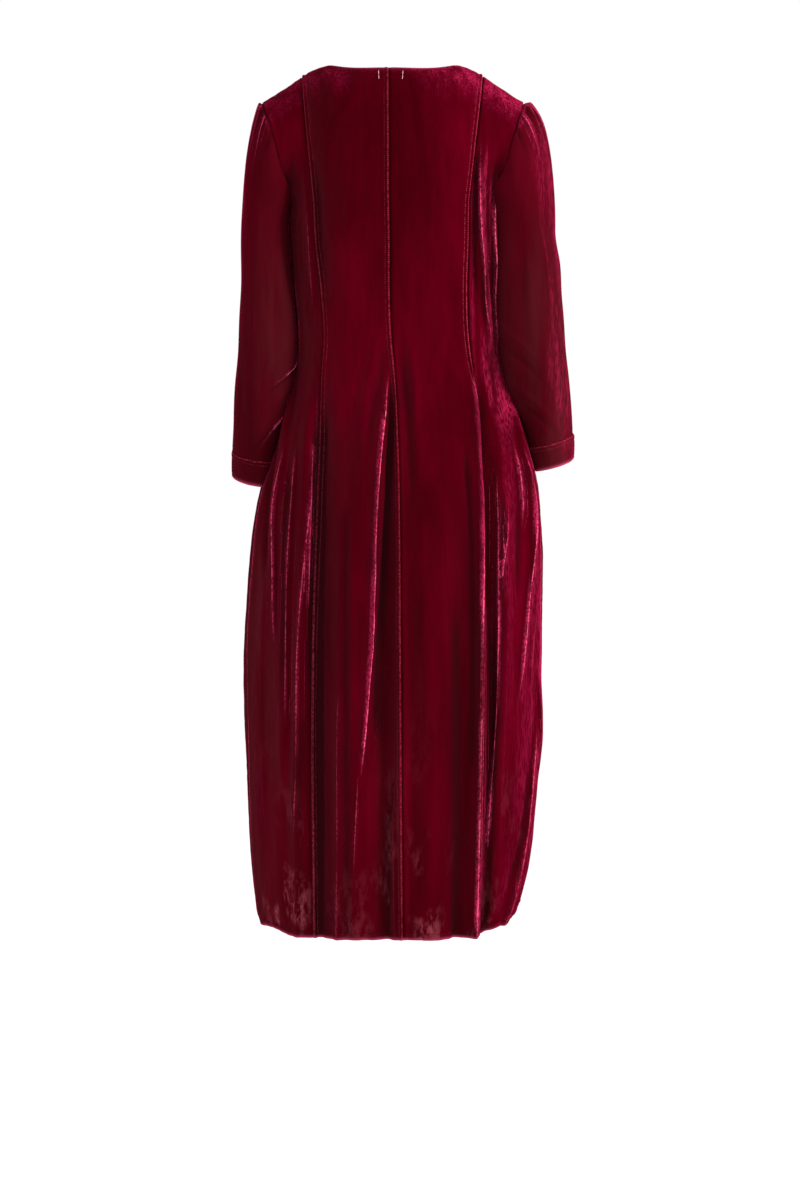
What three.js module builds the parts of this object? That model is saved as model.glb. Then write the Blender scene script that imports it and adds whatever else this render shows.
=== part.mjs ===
// A long-sleeved velvet midi dress, standing open as it is worn, in millimetres.
// +Z is up and the front faces -Y, so the wearer's left is +X. The origin is midway between the
// shoulders, at the height of the points where the neckline meets the shoulder seams.
// Every panel is a thin wall: a grid of outer points, and the same grid moved inwards by the cloth.

import * as THREE from "three";

// Driving dimensions
const CLOTH = 2;
const SEAM_GAP = 0.3;
const HEM_Z = -1205;
const UNDERARM_Z = -200;
const NECK = { halfWidth: 92, backDepth: 62, frontDepth: 96, virtualRidge: 36 };
const SHOULDER = { x: 183, z: -54, seamY: 0 };
const ARMHOLE = { y: 3, backReach: 66, frontReach: 60, backCurve: 1.6, frontCurve: 2.6 };
const SECTION_POWER = { back: 2.35, front: 2.5 };
const RESTING_GAP = 1.5;
const REST_BAND = 9;
const CUFF_STEP = 1;

// Half-widths to each side and depths to the back and front, one row for each height
const BODY = [
  { z: -200, left: 148, right: 150, back: 93, front: 127 },
  { z: -260, left: 148, right: 150, back: 90, front: 133 },
  { z: -330, left: 143, right: 151, back: 85, front: 129 },
  { z: -400, left: 140, right: 157, back: 85, front: 125 },
  { z: -470, left: 149, right: 172, back: 94, front: 127 },
  { z: -540, left: 168, right: 192, back: 106, front: 130 },
  { z: -600, left: 187, right: 204, back: 115, front: 133 },
  { z: -700, left: 200, right: 208, back: 124, front: 136 },
  { z: -800, left: 206, right: 207, back: 129, front: 138 },
  { z: -900, left: 206, right: 205, back: 131, front: 139 },
  { z: -1000, left: 204, right: 201, back: 131, front: 139 },
  { z: -1080, left: 200, right: 195, back: 130, front: 138 },
  { z: -1140, left: 196, right: 186, back: 128, front: 135 },
  { z: -1180, left: 191, right: 175, back: 125, front: 131 },
  { z: -1205, left: 185, right: 162, back: 121, front: 126 },
];

// How far the centre back seam and the princess seams stand from the middle, by height
const SEAMS = [
  { z: -17, centre: 6, left: 128, right: 126 },
  { z: -87, centre: 6, left: 120, right: 114 },
  { z: -145, centre: 5, left: 115, right: 107 },
  { z: -200, centre: 5, left: 110, right: 105 },
  { z: -257, centre: 4, left: 107, right: 104 },
  { z: -321, centre: 4, left: 100, right: 102 },
  { z: -386, centre: 2, left: 95, right: 104 },
  { z: -450, centre: -4, left: 99, right: 112 },
  { z: -504, centre: -7, left: 102, right: 118 },
  { z: -604, centre: -10, left: 105, right: 122 },
  { z: -797, centre: -11, left: 110, right: 122 },
  { z: -976, centre: -12, left: 111, right: 120 },
  { z: -1205, centre: -14, left: 109, right: 115 },
];
const FRONT_GUIDE_X = 105;

// Folds of the skirt and bodice. Each runs down through three points and rises by `rise` from the
// wall, negative for a trough. `wideL` and `wideR` are its reach towards +X and -X.
const BACK_FOLDS = [
  { name: "centre_pleat_edge", z1: -420, x1: 8, z2: -700, x2: 27, z3: -1060, x3: 46, rise: 13, wideL: 34, wideR: 9 },
  { name: "centre_pleat_depth", z1: -430, x1: 2, z2: -700, x2: 9, z3: -1205, x3: 10, rise: -8, wideL: 10, wideR: 12 },
  { name: "centre_seam_edge", z1: -340, x1: 0, z2: -700, x2: -10, z3: -1205, x3: -12, rise: 4, wideL: 7, wideR: 5 },
  { name: "centre_seam_groove", z1: -340, x1: -3, z2: -700, x2: -18, z3: -1205, x3: -21, rise: -4, wideL: 5, wideR: 14 },
  { name: "left_panel_crest", z1: -560, x1: 60, z2: -800, x2: 66, z3: -1205, x3: 70, rise: 5, wideL: 18, wideR: 20 },
  { name: "left_pleat_depth", z1: -420, x1: 98, z2: -800, x2: 104, z3: -1205, x3: 102, rise: -8, wideL: 8, wideR: 20 },
  { name: "left_pleat_edge", z1: -430, x1: 112, z2: -700, x2: 122, z3: -1205, x3: 126, rise: 6, wideL: 10, wideR: 7 },
  { name: "left_side_crest", z1: -520, x1: 136, z2: -800, x2: 146, z3: -1060, x3: 146, rise: 7, wideL: 9, wideR: 10 },
  { name: "left_hip_crest", z1: -390, x1: 129, z2: -560, x2: 152, z3: -780, x3: 163, rise: 8, wideL: 10, wideR: 14 },
  { name: "right_panel_crest", z1: -560, x1: -50, z2: -800, x2: -54, z3: -1205, x3: -54, rise: 6, wideL: 26, wideR: 20 },
  { name: "right_panel_trough", z1: -560, x1: -90, z2: -800, x2: -94, z3: -1205, x3: -92, rise: -7, wideL: 18, wideR: 14 },
  { name: "right_pleat_edge", z1: -400, x1: -104, z2: -700, x2: -118, z3: -1205, x3: -111, rise: 9, wideL: 13, wideR: 5 },
  { name: "right_pleat_depth", z1: -400, x1: -112, z2: -700, x2: -129, z3: -1205, x3: -121, rise: -9, wideL: 6, wideR: 11 },
  { name: "right_side_crest", z1: -500, x1: -142, z2: -720, x2: -148, z3: -1110, x3: -130, rise: 9, wideL: 9, wideR: 12 },
  { name: "right_hip_crest", z1: -420, x1: -150, z2: -640, x2: -188, z3: -860, x3: -176, rise: 8, wideL: 12, wideR: 12 },
  { name: "right_hem_crest", z1: -820, x1: -199, z2: -1000, x2: -190, z3: -1205, x3: -150, rise: 7, wideL: 11, wideR: 12 },
  { name: "right_blade_crest", z1: -95, x1: -122, z2: -250, x2: -123, z3: -430, x3: -136, rise: 7, wideL: 7, wideR: 9 },
  { name: "right_arm_crest", z1: -150, x1: -142, z2: -250, x2: -139, z3: -440, x3: -146, rise: 5, wideL: 6, wideR: 8 },
  { name: "right_blade_trough", z1: -80, x1: -114, z2: -250, x2: -112, z3: -440, x3: -116, rise: -4, wideL: 6, wideR: 5 },
  { name: "left_blade_trough", z1: -95, x1: 106, z2: -250, x2: 99, z3: -400, x3: 90, rise: -4, wideL: 6, wideR: 12 },
  { name: "left_blade_crest", z1: -110, x1: 134, z2: -250, x2: 126, z3: -420, x3: 114, rise: 4, wideL: 12, wideR: 10 },
];
const FRONT_FOLDS = [
  { name: "front_left_crest", z1: -330, x1: 84, z2: -700, x2: 98, z3: -1205, x3: 104, rise: 10, wideL: 20, wideR: 22 },
  { name: "front_left_trough", z1: -380, x1: 52, z2: -700, x2: 58, z3: -1205, x3: 62, rise: -7, wideL: 18, wideR: 16 },
  { name: "front_middle_crest", z1: -470, x1: 16, z2: -800, x2: 20, z3: -1205, x3: 14, rise: 8, wideL: 22, wideR: 24 },
  { name: "front_middle_trough", z1: -430, x1: -26, z2: -800, x2: -30, z3: -1205, x3: -36, rise: -7, wideL: 16, wideR: 20 },
  { name: "front_right_crest", z1: -330, x1: -80, z2: -700, x2: -92, z3: -1205, x3: -90, rise: 11, wideL: 22, wideR: 20 },
  { name: "front_right_trough", z1: -420, x1: -122, z2: -700, x2: -132, z3: -1205, x3: -130, rise: -6, wideL: 16, wideR: 14 },
  { name: "front_right_side_crest", z1: -480, x1: -158, z2: -800, x2: -168, z3: -1205, x3: -146, rise: 8, wideL: 14, wideR: 14 },
  { name: "front_left_side_trough", z1: -440, x1: 132, z2: -700, x2: 140, z3: -1140, x3: 142, rise: -6, wideL: 14, wideR: 16 },
  { name: "front_left_side_crest", z1: -500, x1: 160, z2: -800, x2: 176, z3: -1205, x3: 168, rise: 7, wideL: 14, wideR: 14 },
];
const FOLD_FADE = 130;
const FOLD_ARC = 165;

// Sleeves: the middle, half-width and half-depth of each ring, and how its plane leans outwards
// (`leanX`) and backwards (`leanY`). The last two rows are the cuff.
const SLEEVES = {
  left: {
    sign: 1,
    capPush: { x: 54, z: -60 },
    rings: [
      { z: -235, x: 179.5, y: 8, wide: 32, deep: 54, leanX: 0.05, leanY: 0 },
      { z: -290, x: 178, y: 14, wide: 33.5, deep: 53, leanX: 0.04, leanY: 0 },
      { z: -345, x: 176, y: 20, wide: 36.5, deep: 51, leanX: 0.04, leanY: -0.04 },
      { z: -400, x: 176, y: 24, wide: 39, deep: 49, leanX: 0.06, leanY: -0.08 },
      { z: -450, x: 180, y: 22, wide: 38.5, deep: 47, leanX: 0.1, leanY: -0.14 },
      { z: -500, x: 185.5, y: 16, wide: 36.5, deep: 44, leanX: 0.14, leanY: -0.2 },
      { z: -545, x: 189.5, y: 9, wide: 34.5, deep: 41, leanX: 0.16, leanY: -0.26 },
      { z: -580, x: 191, y: 4, wide: 32, deep: 39, leanX: 0.16, leanY: -0.28 },
    ],
  },
  right: {
    sign: -1,
    capPush: { x: 120, z: -40 },
    rings: [
      { z: -235, x: 189.5, y: 8, wide: 37, deep: 54, leanX: 0.08, leanY: 0 },
      { z: -290, x: 193, y: 14, wide: 40, deep: 53, leanX: 0.08, leanY: 0 },
      { z: -345, x: 196, y: 20, wide: 40, deep: 51, leanX: 0.1, leanY: -0.04 },
      { z: -400, x: 199.5, y: 22, wide: 40.5, deep: 49, leanX: 0.14, leanY: -0.08 },
      { z: -450, x: 205.5, y: 19, wide: 39, deep: 47, leanX: 0.2, leanY: -0.12 },
      { z: -490, x: 212, y: 13, wide: 36.5, deep: 44, leanX: 0.24, leanY: -0.18 },
      { z: -524, x: 217, y: 8, wide: 34, deep: 41, leanX: 0.26, leanY: -0.22 },
      { z: -558, x: 220.5, y: 4, wide: 31.5, deep: 39, leanX: 0.26, leanY: -0.22 },
    ],
  },
};
const CAP_STEPS = [0, 0.07, 0.16, 0.28, 0.42, 0.6, 0.8];
// Gathers of a sleeve head: the place round the armhole in degrees, where 90 is the shoulder point
// and less is towards the back, the rise, and how far down the cap it runs, from 0 to 1
const GATHERS = [
  { at: 26, rise: 2.5, reach: 0.5 },
  { at: 42, rise: 4, reach: 0.75 },
  { at: 58, rise: 5, reach: 0.6 },
  { at: 74, rise: 5.5, reach: 0.95 },
  { at: 90, rise: 5, reach: 0.7 },
  { at: 106, rise: 5.5, reach: 0.9 },
  { at: 123, rise: 4.5, reach: 0.6 },
  { at: 140, rise: 3, reach: 0.75 },
];
const GATHER_REACH = 5.5;
// Drag folds of the sleeves, by the turn round the ring in degrees and the height
const DRAG_FOLDS = {
  left: [
    { z1: -385, turn1: -62, z2: -425, turn2: -20, rise: 4, wide: 12 },
    { z1: -450, turn1: -60, z2: -500, turn2: -8, rise: 4.5, wide: 13 },
  ],
  right: [
    { z1: -350, turn1: -70, z2: -400, turn2: -30, rise: 3.5, wide: 13 },
    { z1: -430, turn1: 200, z2: -480, turn2: 236, rise: 3.5, wide: 13 },
  ],
};

// Where the columns and rows of the grids lie
const CENTRE_COLUMNS = [0, 0.05, 0.11, 0.18, 0.27, 0.38, 0.5, 0.61, 0.72, 0.83, 0.92, 1];
const SIDE_COLUMNS = [0, 0.05, 0.12, 0.2, 0.28, 0.36, 0.44, 0.52, 0.61, 0.71, 0.81, 0.91, 1];
const FRONT_INNER_COLUMNS = [0, 0.13, 0.27, 0.42, 0.57, 0.72, 0.86, 1];
const FRONT_OUTER_COLUMNS = [0, 0.17, 0.34, 0.51, 0.68, 0.84, 1];
const NECK_COLUMNS = { back: 7, front: 5 };
const UPPER_ROWS = [1, 0.93, 0.82, 0.69, 0.56, 0.43, 0.3, 0.19, 0.09];
const LOWER_ROWS = [
  -200, -250, -305, -360, -415, -470, -525, -585, -650, -725, -800, -880, -960, -1035, -1100,
  -1155, -1187, -1205,
];
const SLEEVE_TURNS = [
  ...evenTurns(18, 162, 24),
  ...evenTurns(162, 378, 14),
];

const VELVET = new THREE.MeshStandardMaterial({ color: 0x5c0616, roughness: 0.8, metalness: 0 });

// Turns in degrees from `from` up to but not at `to`
function evenTurns(from, to, count) {
  return Array.from({ length: count }, (_, i) => from + ((to - from) * i) / count);
}

const radians = (degrees) => (degrees * Math.PI) / 180;
const mix = (a, b, t) => a + (b - a) * t;
const clamp01 = (t) => Math.min(1, Math.max(0, t));
const smooth = (t) => clamp01(t) ** 2 * (3 - 2 * clamp01(t));

// A smooth curve through a table's rows, read at height z
function along(rows, key, z) {
  const last = rows.length - 1;
  if (z >= rows[0].z) return rows[0][key];
  if (z <= rows[last].z) return rows[last][key];
  const i = rows.findIndex((row) => row.z <= z) - 1;
  const slope = (k) => {
    if (k === 0) return 0;
    const before = rows[k - 1];
    const after = rows[Math.min(last, k + 1)];
    return (after[key] - before[key]) / (after.z - before.z);
  };
  const span = rows[i + 1].z - rows[i].z;
  const t = (z - rows[i].z) / span;
  const bend = (t - 1) ** 2 * t * slope(i) + t * t * (t - 1) * slope(i + 1);
  return mix(rows[i][key], rows[i + 1][key], t * t * (3 - 2 * t)) + bend * span;
}

// The turn from the middle of the back or front at which a section reaches the given x
function turnAt(x, z, face) {
  const power = SECTION_POWER[face];
  const share = Math.min(1, Math.abs(x) / along(BODY, x < 0 ? "right" : "left", z));
  const turn = Math.atan2(share, (1 - share ** power) ** (1 / power));
  return x < 0 ? -turn : turn;
}

// The quadratic through a fold's three points, read at height z
function foldX(fold, z) {
  const { z1, x1, z2, x2, z3, x3 } = fold;
  return (
    (x1 * (z - z2) * (z - z3)) / ((z1 - z2) * (z1 - z3)) +
    (x2 * (z - z1) * (z - z3)) / ((z2 - z1) * (z2 - z3)) +
    (x3 * (z - z1) * (z - z2)) / ((z3 - z1) * (z3 - z2))
  );
}

// How far the folds of one face lift the cloth at a turn and a height
function foldRise(turn, z, face) {
  const level = Math.min(z, UNDERARM_Z);
  let rise = 0;
  for (const fold of face === "back" ? BACK_FOLDS : FRONT_FOLDS) {
    if (z > fold.z1 || (z < fold.z3 && fold.z3 > HEM_Z)) continue;
    const starts = smooth((fold.z1 - z) / FOLD_FADE);
    const ends = fold.z3 > HEM_Z ? smooth((z - fold.z3) / FOLD_FADE) : 1;
    const away = (turn - turnAt(foldX(fold, z), level, face)) * FOLD_ARC;
    const share = away / (away > 0 ? fold.wideL : fold.wideR);
    rise += fold.rise * starts * ends * Math.exp(-share * share);
  }
  return rise;
}

// A point of the body's smooth section at a turn from the middle of one face, and the way out
function sectionPoint(turn, z, face) {
  const power = SECTION_POWER[face];
  const sine = Math.sin(turn);
  const cosine = Math.cos(turn);
  const size = (Math.abs(sine) ** power + Math.abs(cosine) ** power) ** (-1 / power);
  const wide = along(BODY, turn < 0 ? "right" : "left", z);
  const deep = along(BODY, face, z);
  const way = face === "back" ? 1 : -1;
  const point = new THREE.Vector3(wide * sine * size, ARMHOLE.y + way * deep * cosine * size, z);
  const out = new THREE.Vector3(
    (Math.abs(sine) ** (power - 1) * Math.sign(sine)) / wide,
    (way * Math.abs(cosine) ** (power - 1)) / deep,
    0,
  );
  return { point, out: out.normalize() };
}

// A point of the body below the underarm, folds included
function bodyPoint(turn, z, face) {
  const { point, out } = sectionPoint(turn, z, face);
  const edge = 1 - smooth((Math.abs(turn) - 1.25) / 0.3);
  return point.addScaledVector(out, foldRise(turn, z, face) * edge);
}

// The armhole's seam line: 90 degrees is the shoulder point, 0 the back, -90 the underarm
function armholePoint(side, turnDegrees) {
  const { sign } = SLEEVES[side];
  const turn = radians(turnDegrees);
  const low = along(BODY, side, UNDERARM_Z);
  const height = (SHOULDER.z - UNDERARM_Z) / 2;
  const atBack = Math.cos(turn) > 0;
  const climb = ((1 + Math.sin(turn)) / 2) ** (atBack ? ARMHOLE.backCurve : ARMHOLE.frontCurve);
  const reach = atBack ? ARMHOLE.backReach : ARMHOLE.frontReach;
  const y = mix(ARMHOLE.y, SHOULDER.seamY, clamp01((1 + Math.sin(turn)) / 2));
  return new THREE.Vector3(
    sign * mix(low, SHOULDER.x, climb),
    y + reach * Math.cos(turn),
    UNDERARM_Z + height * (1 + Math.sin(turn)),
  );
}

// The armhole's edge as the body's rows cut it into straight pieces, read at any turn
function armholeEdge(side, turnDegrees) {
  const share = turnDegrees <= 90 ? (turnDegrees + 90) / 180 : (270 - turnDegrees) / 180;
  const shares = [...UPPER_ROWS, 0];
  const low = shares.findIndex((row) => row <= share + 1e-9);
  const high = Math.max(0, low - 1);
  const turnFor = (row) => (turnDegrees <= 90 ? mix(-90, 90, row) : mix(270, 90, row));
  const t = high === low ? 0 : (share - shares[low]) / (shares[high] - shares[low]);
  return armholePoint(side, turnFor(shares[low])).lerp(armholePoint(side, turnFor(shares[high])), t);
}

// The way out of the armhole's ring, in the plane of the ring
function armholeOut(side, turnDegrees) {
  const middleZ = (SHOULDER.z + UNDERARM_Z) / 2;
  const point = armholePoint(side, turnDegrees);
  return new THREE.Vector3(0, point.y - ARMHOLE.y, point.z - middleZ).normalize();
}

// The height of the shoulder ridge, which the neckline cuts away near the middle
function ridgeZ(x) {
  const out = Math.abs(x);
  if (out > NECK.halfWidth) {
    return mix(0, SHOULDER.z, ((out - NECK.halfWidth) / (SHOULDER.x - NECK.halfWidth)) ** 1.12);
  }
  return NECK.virtualRidge * (1 - (out / NECK.halfWidth) ** 2) ** 1.6;
}

// A line from the underarm level over the blade or chest up to the ridge or the neckline.
// `share` is 0 at the underarm level and 1 at the top.
function upperLine(start, topX, face, share) {
  const power = face === "back" ? 0.95 : 1.35;
  const neckDepth = face === "back" ? NECK.backDepth : NECK.frontDepth;
  const at = (angle) => {
    const lift = Math.sin(angle);
    return new THREE.Vector3(
      mix(start.x, topX, lift),
      mix(SHOULDER.seamY, start.y, Math.cos(angle) ** power),
      mix(start.z, ridgeZ(topX), lift),
    );
  };
  let low = 0;
  let high = Math.PI / 2;
  const isInNeck = (point) => (point.x / NECK.halfWidth) ** 2 + (point.y / neckDepth) ** 2 < 1;
  if (isInNeck(at(high - 1e-4))) {
    for (let step = 0; step < 40; step++) {
      const middle = (low + high) / 2;
      if (isInNeck(at(middle))) high = middle;
      else low = middle;
    }
  }
  return at(high * share);
}

// One quarter of the body as a grid: rows from the top down, columns from the centre line out
// to the armhole and side seam
function quarterSheet(side, face) {
  const sign = side === "left" ? 1 : -1;
  const isBack = face === "back";
  const centreX = (z) => (isBack ? along(SEAMS, "centre", z) : 0);
  const seamX = (z) => sign * (isBack ? along(SEAMS, side, z) : FRONT_GUIDE_X);
  const topCentre = centreX(SEAMS[0].z);
  const topSeam = sign * along(SEAMS, side, SEAMS[0].z);
  const inner = isBack ? CENTRE_COLUMNS : FRONT_INNER_COLUMNS;
  const outer = isBack ? SIDE_COLUMNS : FRONT_OUTER_COLUMNS;
  // Columns that end on the neckline are spread evenly round it
  const neckColumn = isBack ? NECK_COLUMNS.back : NECK_COLUMNS.front;
  const neckTurn = Math.asin((sign * topCentre) / NECK.halfWidth);
  const topX = (column) => {
    if (column <= neckColumn) {
      return sign * NECK.halfWidth * Math.sin(mix(neckTurn, Math.PI / 2, column / neckColumn));
    }
    const past = (inner[column] - inner[neckColumn]) / (1 - inner[neckColumn]);
    return mix(sign * NECK.halfWidth, topSeam, past);
  };

  const turnOf = (column, z) => {
    const start = turnAt(centreX(z), z, face);
    const seam = turnAt(seamX(z), z, face);
    if (column < inner.length) return mix(start, seam, inner[column]);
    return mix(seam, (sign * Math.PI) / 2, outer[column - inner.length + 1]);
  };
  const columns = inner.length + outer.length - 1;
  const seamStart = sectionPoint(turnOf(inner.length - 1, UNDERARM_Z), UNDERARM_Z, face).point;
  const sideStart = sectionPoint((sign * Math.PI) / 2, UNDERARM_Z, face).point;

  const upperPoint = (column, share) => {
    const turn = turnOf(column, UNDERARM_Z);
    const { point, out } = sectionPoint(turn, UNDERARM_Z, face);
    let base;
    if (column < inner.length) {
      base = upperLine(point, topX(column), face, share);
    } else {
      const across = outer[column - inner.length + 1];
      const armTurn = isBack ? mix(-90, 90, share) : mix(270, 90, share);
      const bulge = point.sub(seamStart.clone().lerp(sideStart, across));
      base = upperLine(seamStart, topSeam, face, share)
        .lerp(armholePoint(side, armTurn), across)
        .addScaledVector(bulge, (1 - share) ** 2);
    }
    const edge = 1 - (column < inner.length ? 0 : outer[column - inner.length + 1] ** 6);
    return base.addScaledVector(out, foldRise(turn, base.z, face) * (1 - share ** 3) * edge);
  };

  const rows = [
    ...UPPER_ROWS.map((share) => Array.from({ length: columns }, (_, c) => upperPoint(c, share))),
    ...LOWER_ROWS.map((z) => Array.from({ length: columns }, (_, c) => {
      const turn = turnOf(c, z);
      return bodyPoint(turn, z + hemLift(turn, z, face), face);
    })),
  ];
  return { rows, side, face, seamColumn: inner.length - 1 };
}

// The hem is drawn up a little at the wearer's right side
function hemLift(turn, z, face) {
  const low = smooth((UNDERARM_Z - 600 - z) / 400);
  const place = face === "back" ? turn : -Math.PI - turn;
  return 24 * low * Math.exp(-(((place + 1.5) / 0.35) ** 2));
}

// Smooth normals shared by every grid that meets at a point
const pointKey = (p) => `${Math.round(p.x * 100)},${Math.round(p.y * 100)},${Math.round(p.z * 100)}`;

function sharedNormals(grids) {
  const sums = new Map();
  for (const { rows, turned } of grids) {
    for (let r = 0; r + 1 < rows.length; r++) {
      for (let c = 0; c + 1 < rows[r].length; c++) {
        const corners = [rows[r][c], rows[r][c + 1], rows[r + 1][c + 1], rows[r + 1][c]];
        const across = corners[2].clone().sub(corners[0]);
        const normal = across.cross(corners[3].clone().sub(corners[1]));
        if (turned) normal.negate();
        for (const corner of corners) {
          const key = pointKey(corner);
          if (!sums.has(key)) sums.set(key, new THREE.Vector3());
          sums.get(key).add(normal);
        }
      }
    }
  }
  return (point) => sums.get(pointKey(point)).clone().normalize();
}

// A closed solid between a grid of outer points and a grid of inner points. `isRing` joins the
// last column to the first.
function wall(outer, inner, isRing, turned) {
  const height = outer.length;
  const width = outer[0].length;
  const places = [...outer.flat(), ...inner.flat()].flatMap((p) => [p.x, p.y, p.z]);
  const faces = [];
  const at = (r, c, isInner) => (isInner ? height * width : 0) + r * width + (c % width);
  const quad = (a, b, c, d, isCrossed = false) => {
    const order = turned ? [a, d, c, b] : [a, b, c, d];
    if (isCrossed) order.push(order.shift());
    faces.push(order[0], order[1], order[2], order[0], order[2], order[3]);
  };
  // Each cell is split along its shorter diagonal
  const isCrossed = (r, c) => {
    const next = (c + 1) % width;
    const falling = outer[r][c].distanceTo(outer[r + 1][next]);
    return outer[r][next].distanceTo(outer[r + 1][c]) < falling;
  };
  const spans = isRing ? width : width - 1;
  for (let r = 0; r + 1 < height; r++) {
    for (let c = 0; c < spans; c++) {
      const crossed = isCrossed(r, c);
      quad(at(r, c), at(r, c + 1), at(r + 1, c + 1), at(r + 1, c), crossed);
      quad(at(r, c, true), at(r + 1, c, true), at(r + 1, c + 1, true), at(r, c + 1, true), crossed);
    }
  }
  for (let c = 0; c < spans; c++) {
    quad(at(0, c), at(0, c, true), at(0, c + 1, true), at(0, c + 1));
    const r = height - 1;
    quad(at(r, c), at(r, c + 1), at(r, c + 1, true), at(r, c, true));
  }
  for (let r = 0; !isRing && r + 1 < height; r++) {
    const c = width - 1;
    quad(at(r, 0), at(r + 1, 0), at(r + 1, 0, true), at(r, 0, true));
    quad(at(r, c), at(r, c, true), at(r + 1, c, true), at(r + 1, c));
  }
  const geometry = new THREE.BufferGeometry();
  geometry.setAttribute("position", new THREE.Float32BufferAttribute(places, 3));
  geometry.setIndex(faces);
  geometry.computeVertexNormals();
  return geometry;
}

function cloth(name, geometry) {
  const mesh = new THREE.Mesh(geometry, VELVET.clone());
  mesh.name = name;
  return mesh;
}

// A body panel: some columns of a sheet, drawn in by half the seam gap along its sewn edges
function panel(name, rows, outOf, sewn, turned) {
  const pull = (point, towards) =>
    towards.clone().sub(point).normalize().multiplyScalar(SEAM_GAP / 2);
  const outer = rows.map((row) => row.map((point) => point.clone()));
  const shift = (r, c, fromR, fromC) => outer[r][c].add(pull(rows[r][c], rows[fromR][fromC]));
  const last = rows[0].length - 1;
  rows.forEach((_, r) => {
    if (sewn.first) shift(r, 0, r, 1);
    if (sewn.last) shift(r, last, r, last - 1);
  });
  rows[0].forEach((_, c) => shift(0, c, 1, c));
  const inner = rows.map((row, r) => row.map((point, c) =>
    outer[r][c].clone().addScaledVector(outOf(point, r, c), -CLOTH)));
  return cloth(name, wall(outer, inner, false, turned));
}

// The body's outer x near a depth and height on one side, which the sleeve stays clear of
function sideReach(side, y, z) {
  const sign = side === "left" ? 1 : -1;
  let reach = 0;
  for (const face of ["back", "front"]) {
    for (let turn = 0.6; turn <= Math.PI / 2; turn += 0.04) {
      const point = bodyPoint(sign * turn, z, face);
      if (Math.abs(point.y - y) < REST_BAND) reach = Math.max(reach, sign * point.x);
    }
  }
  return reach;
}

// The way round a sleeve ring at a turn in degrees: 90 is the outside of the arm, 0 the back
function ringPoint(side, ring, turnDegrees, swell = 0) {
  const { sign } = SLEEVES[side];
  const turn = radians(turnDegrees);
  const out = (ring.wide + swell) * Math.sin(turn);
  const back = (ring.deep + swell) * Math.cos(turn);
  return new THREE.Vector3(
    sign * (ring.x + out),
    ring.y + back,
    ring.z + ring.leanX * out + ring.leanY * back,
  );
}

// The way out of a sleeve ring, in the ring's own leaning plane
function ringOut(side, ring, turnDegrees) {
  const { sign } = SLEEVES[side];
  const step = 0.5;
  const along = ringPoint(side, ring, turnDegrees + step);
  along.sub(ringPoint(side, ring, turnDegrees - step));
  const up = new THREE.Vector3(-sign * ring.leanX, -ring.leanY, 1);
  return along.cross(up).multiplyScalar(-sign).normalize();
}

// Moves a sleeve's point out until it is just clear of the body
function clearOfBody(side, point) {
  const { sign } = SLEEVES[side];
  const clear = sideReach(side, point.y, point.z) + RESTING_GAP;
  if (point.z < UNDERARM_Z - 4 && sign * point.x < clear) point.x = sign * clear;
  return point;
}

// The sleeve head: each line leaves the armhole outwards and turns down into the first ring
function capPoint(side, turnDegrees, step) {
  const { sign, capPush, rings } = SLEEVES[side];
  const wrapped = turnDegrees > 270 ? turnDegrees - 360 : turnDegrees;
  const start = armholeEdge(side, wrapped);
  const end = ringPoint(side, rings[0], turnDegrees);
  const height = Math.max(0, Math.sin(radians(turnDegrees)));
  const span = start.distanceTo(end);
  const leave = new THREE.Vector3(
    sign * mix(0.12 * span, capPush.x, height),
    0.45 * span * Math.cos(radians(turnDegrees)) * (1 - height * height),
    mix(-0.9 * span, capPush.z, height),
  );
  const arrive = new THREE.Vector3(sign * 4, 0, -1.05 * span);
  const s = step;
  return start
    .multiplyScalar(2 * s ** 3 - 3 * s ** 2 + 1)
    .addScaledVector(leave, s ** 3 - 2 * s ** 2 + s)
    .addScaledVector(end, 3 * s ** 2 - 2 * s ** 3)
    .addScaledVector(arrive, s ** 3 - s ** 2);
}

// How far the gathers lift the sleeve head
function gatherRise(turnDegrees, step) {
  let rise = 0;
  for (const { at, rise: high, reach } of GATHERS) {
    const across = (turnDegrees - at) / GATHER_REACH;
    rise += high * Math.exp(-across * across) * smooth(step / 0.12) * (1 - smooth(step / reach));
  }
  return rise;
}

// How far the drag folds lift the lower sleeve
function dragRise(side, turnDegrees, z) {
  let rise = 0;
  for (const fold of DRAG_FOLDS[side]) {
    const share = (fold.z1 - z) / (fold.z1 - fold.z2);
    const turn = mix(fold.turn1, fold.turn2, share);
    const away = ((turnDegrees - turn + 540) % 360) - 180;
    const inside = Math.exp(-(((share - 0.5) / 0.55) ** 2));
    rise += fold.rise * inside * Math.exp(-((away / fold.wide) ** 2));
  }
  return rise;
}

function sleeveRings(side) {
  const { rings, sign } = SLEEVES[side];
  const seam = rings.length - 2;
  const middle = (ring) => new THREE.Vector3(sign * ring.x, ring.y, ring.z);
  const rows = CAP_STEPS.map((step) => SLEEVE_TURNS.map((turn) => {
    const out = armholeOut(side, turn);
    const point = capPoint(side, turn, step).addScaledVector(out, gatherRise(turn, step));
    if (step === 0) point.x += sign * SEAM_GAP;
    return step === 0 ? point : clearOfBody(side, point);
  }));
  rings.slice(0, seam + 1).forEach((ring, i) => {
    rows.push(SLEEVE_TURNS.map((turn) => {
      const point = ringPoint(side, ring, turn);
      const out = point.clone().sub(middle(ring)).setZ(0).normalize();
      point.addScaledVector(out, dragRise(side, turn, ring.z));
      if (i === seam) point.z += SEAM_GAP / 2;
      return clearOfBody(side, point);
    }));
  });
  return rows;
}

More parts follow.
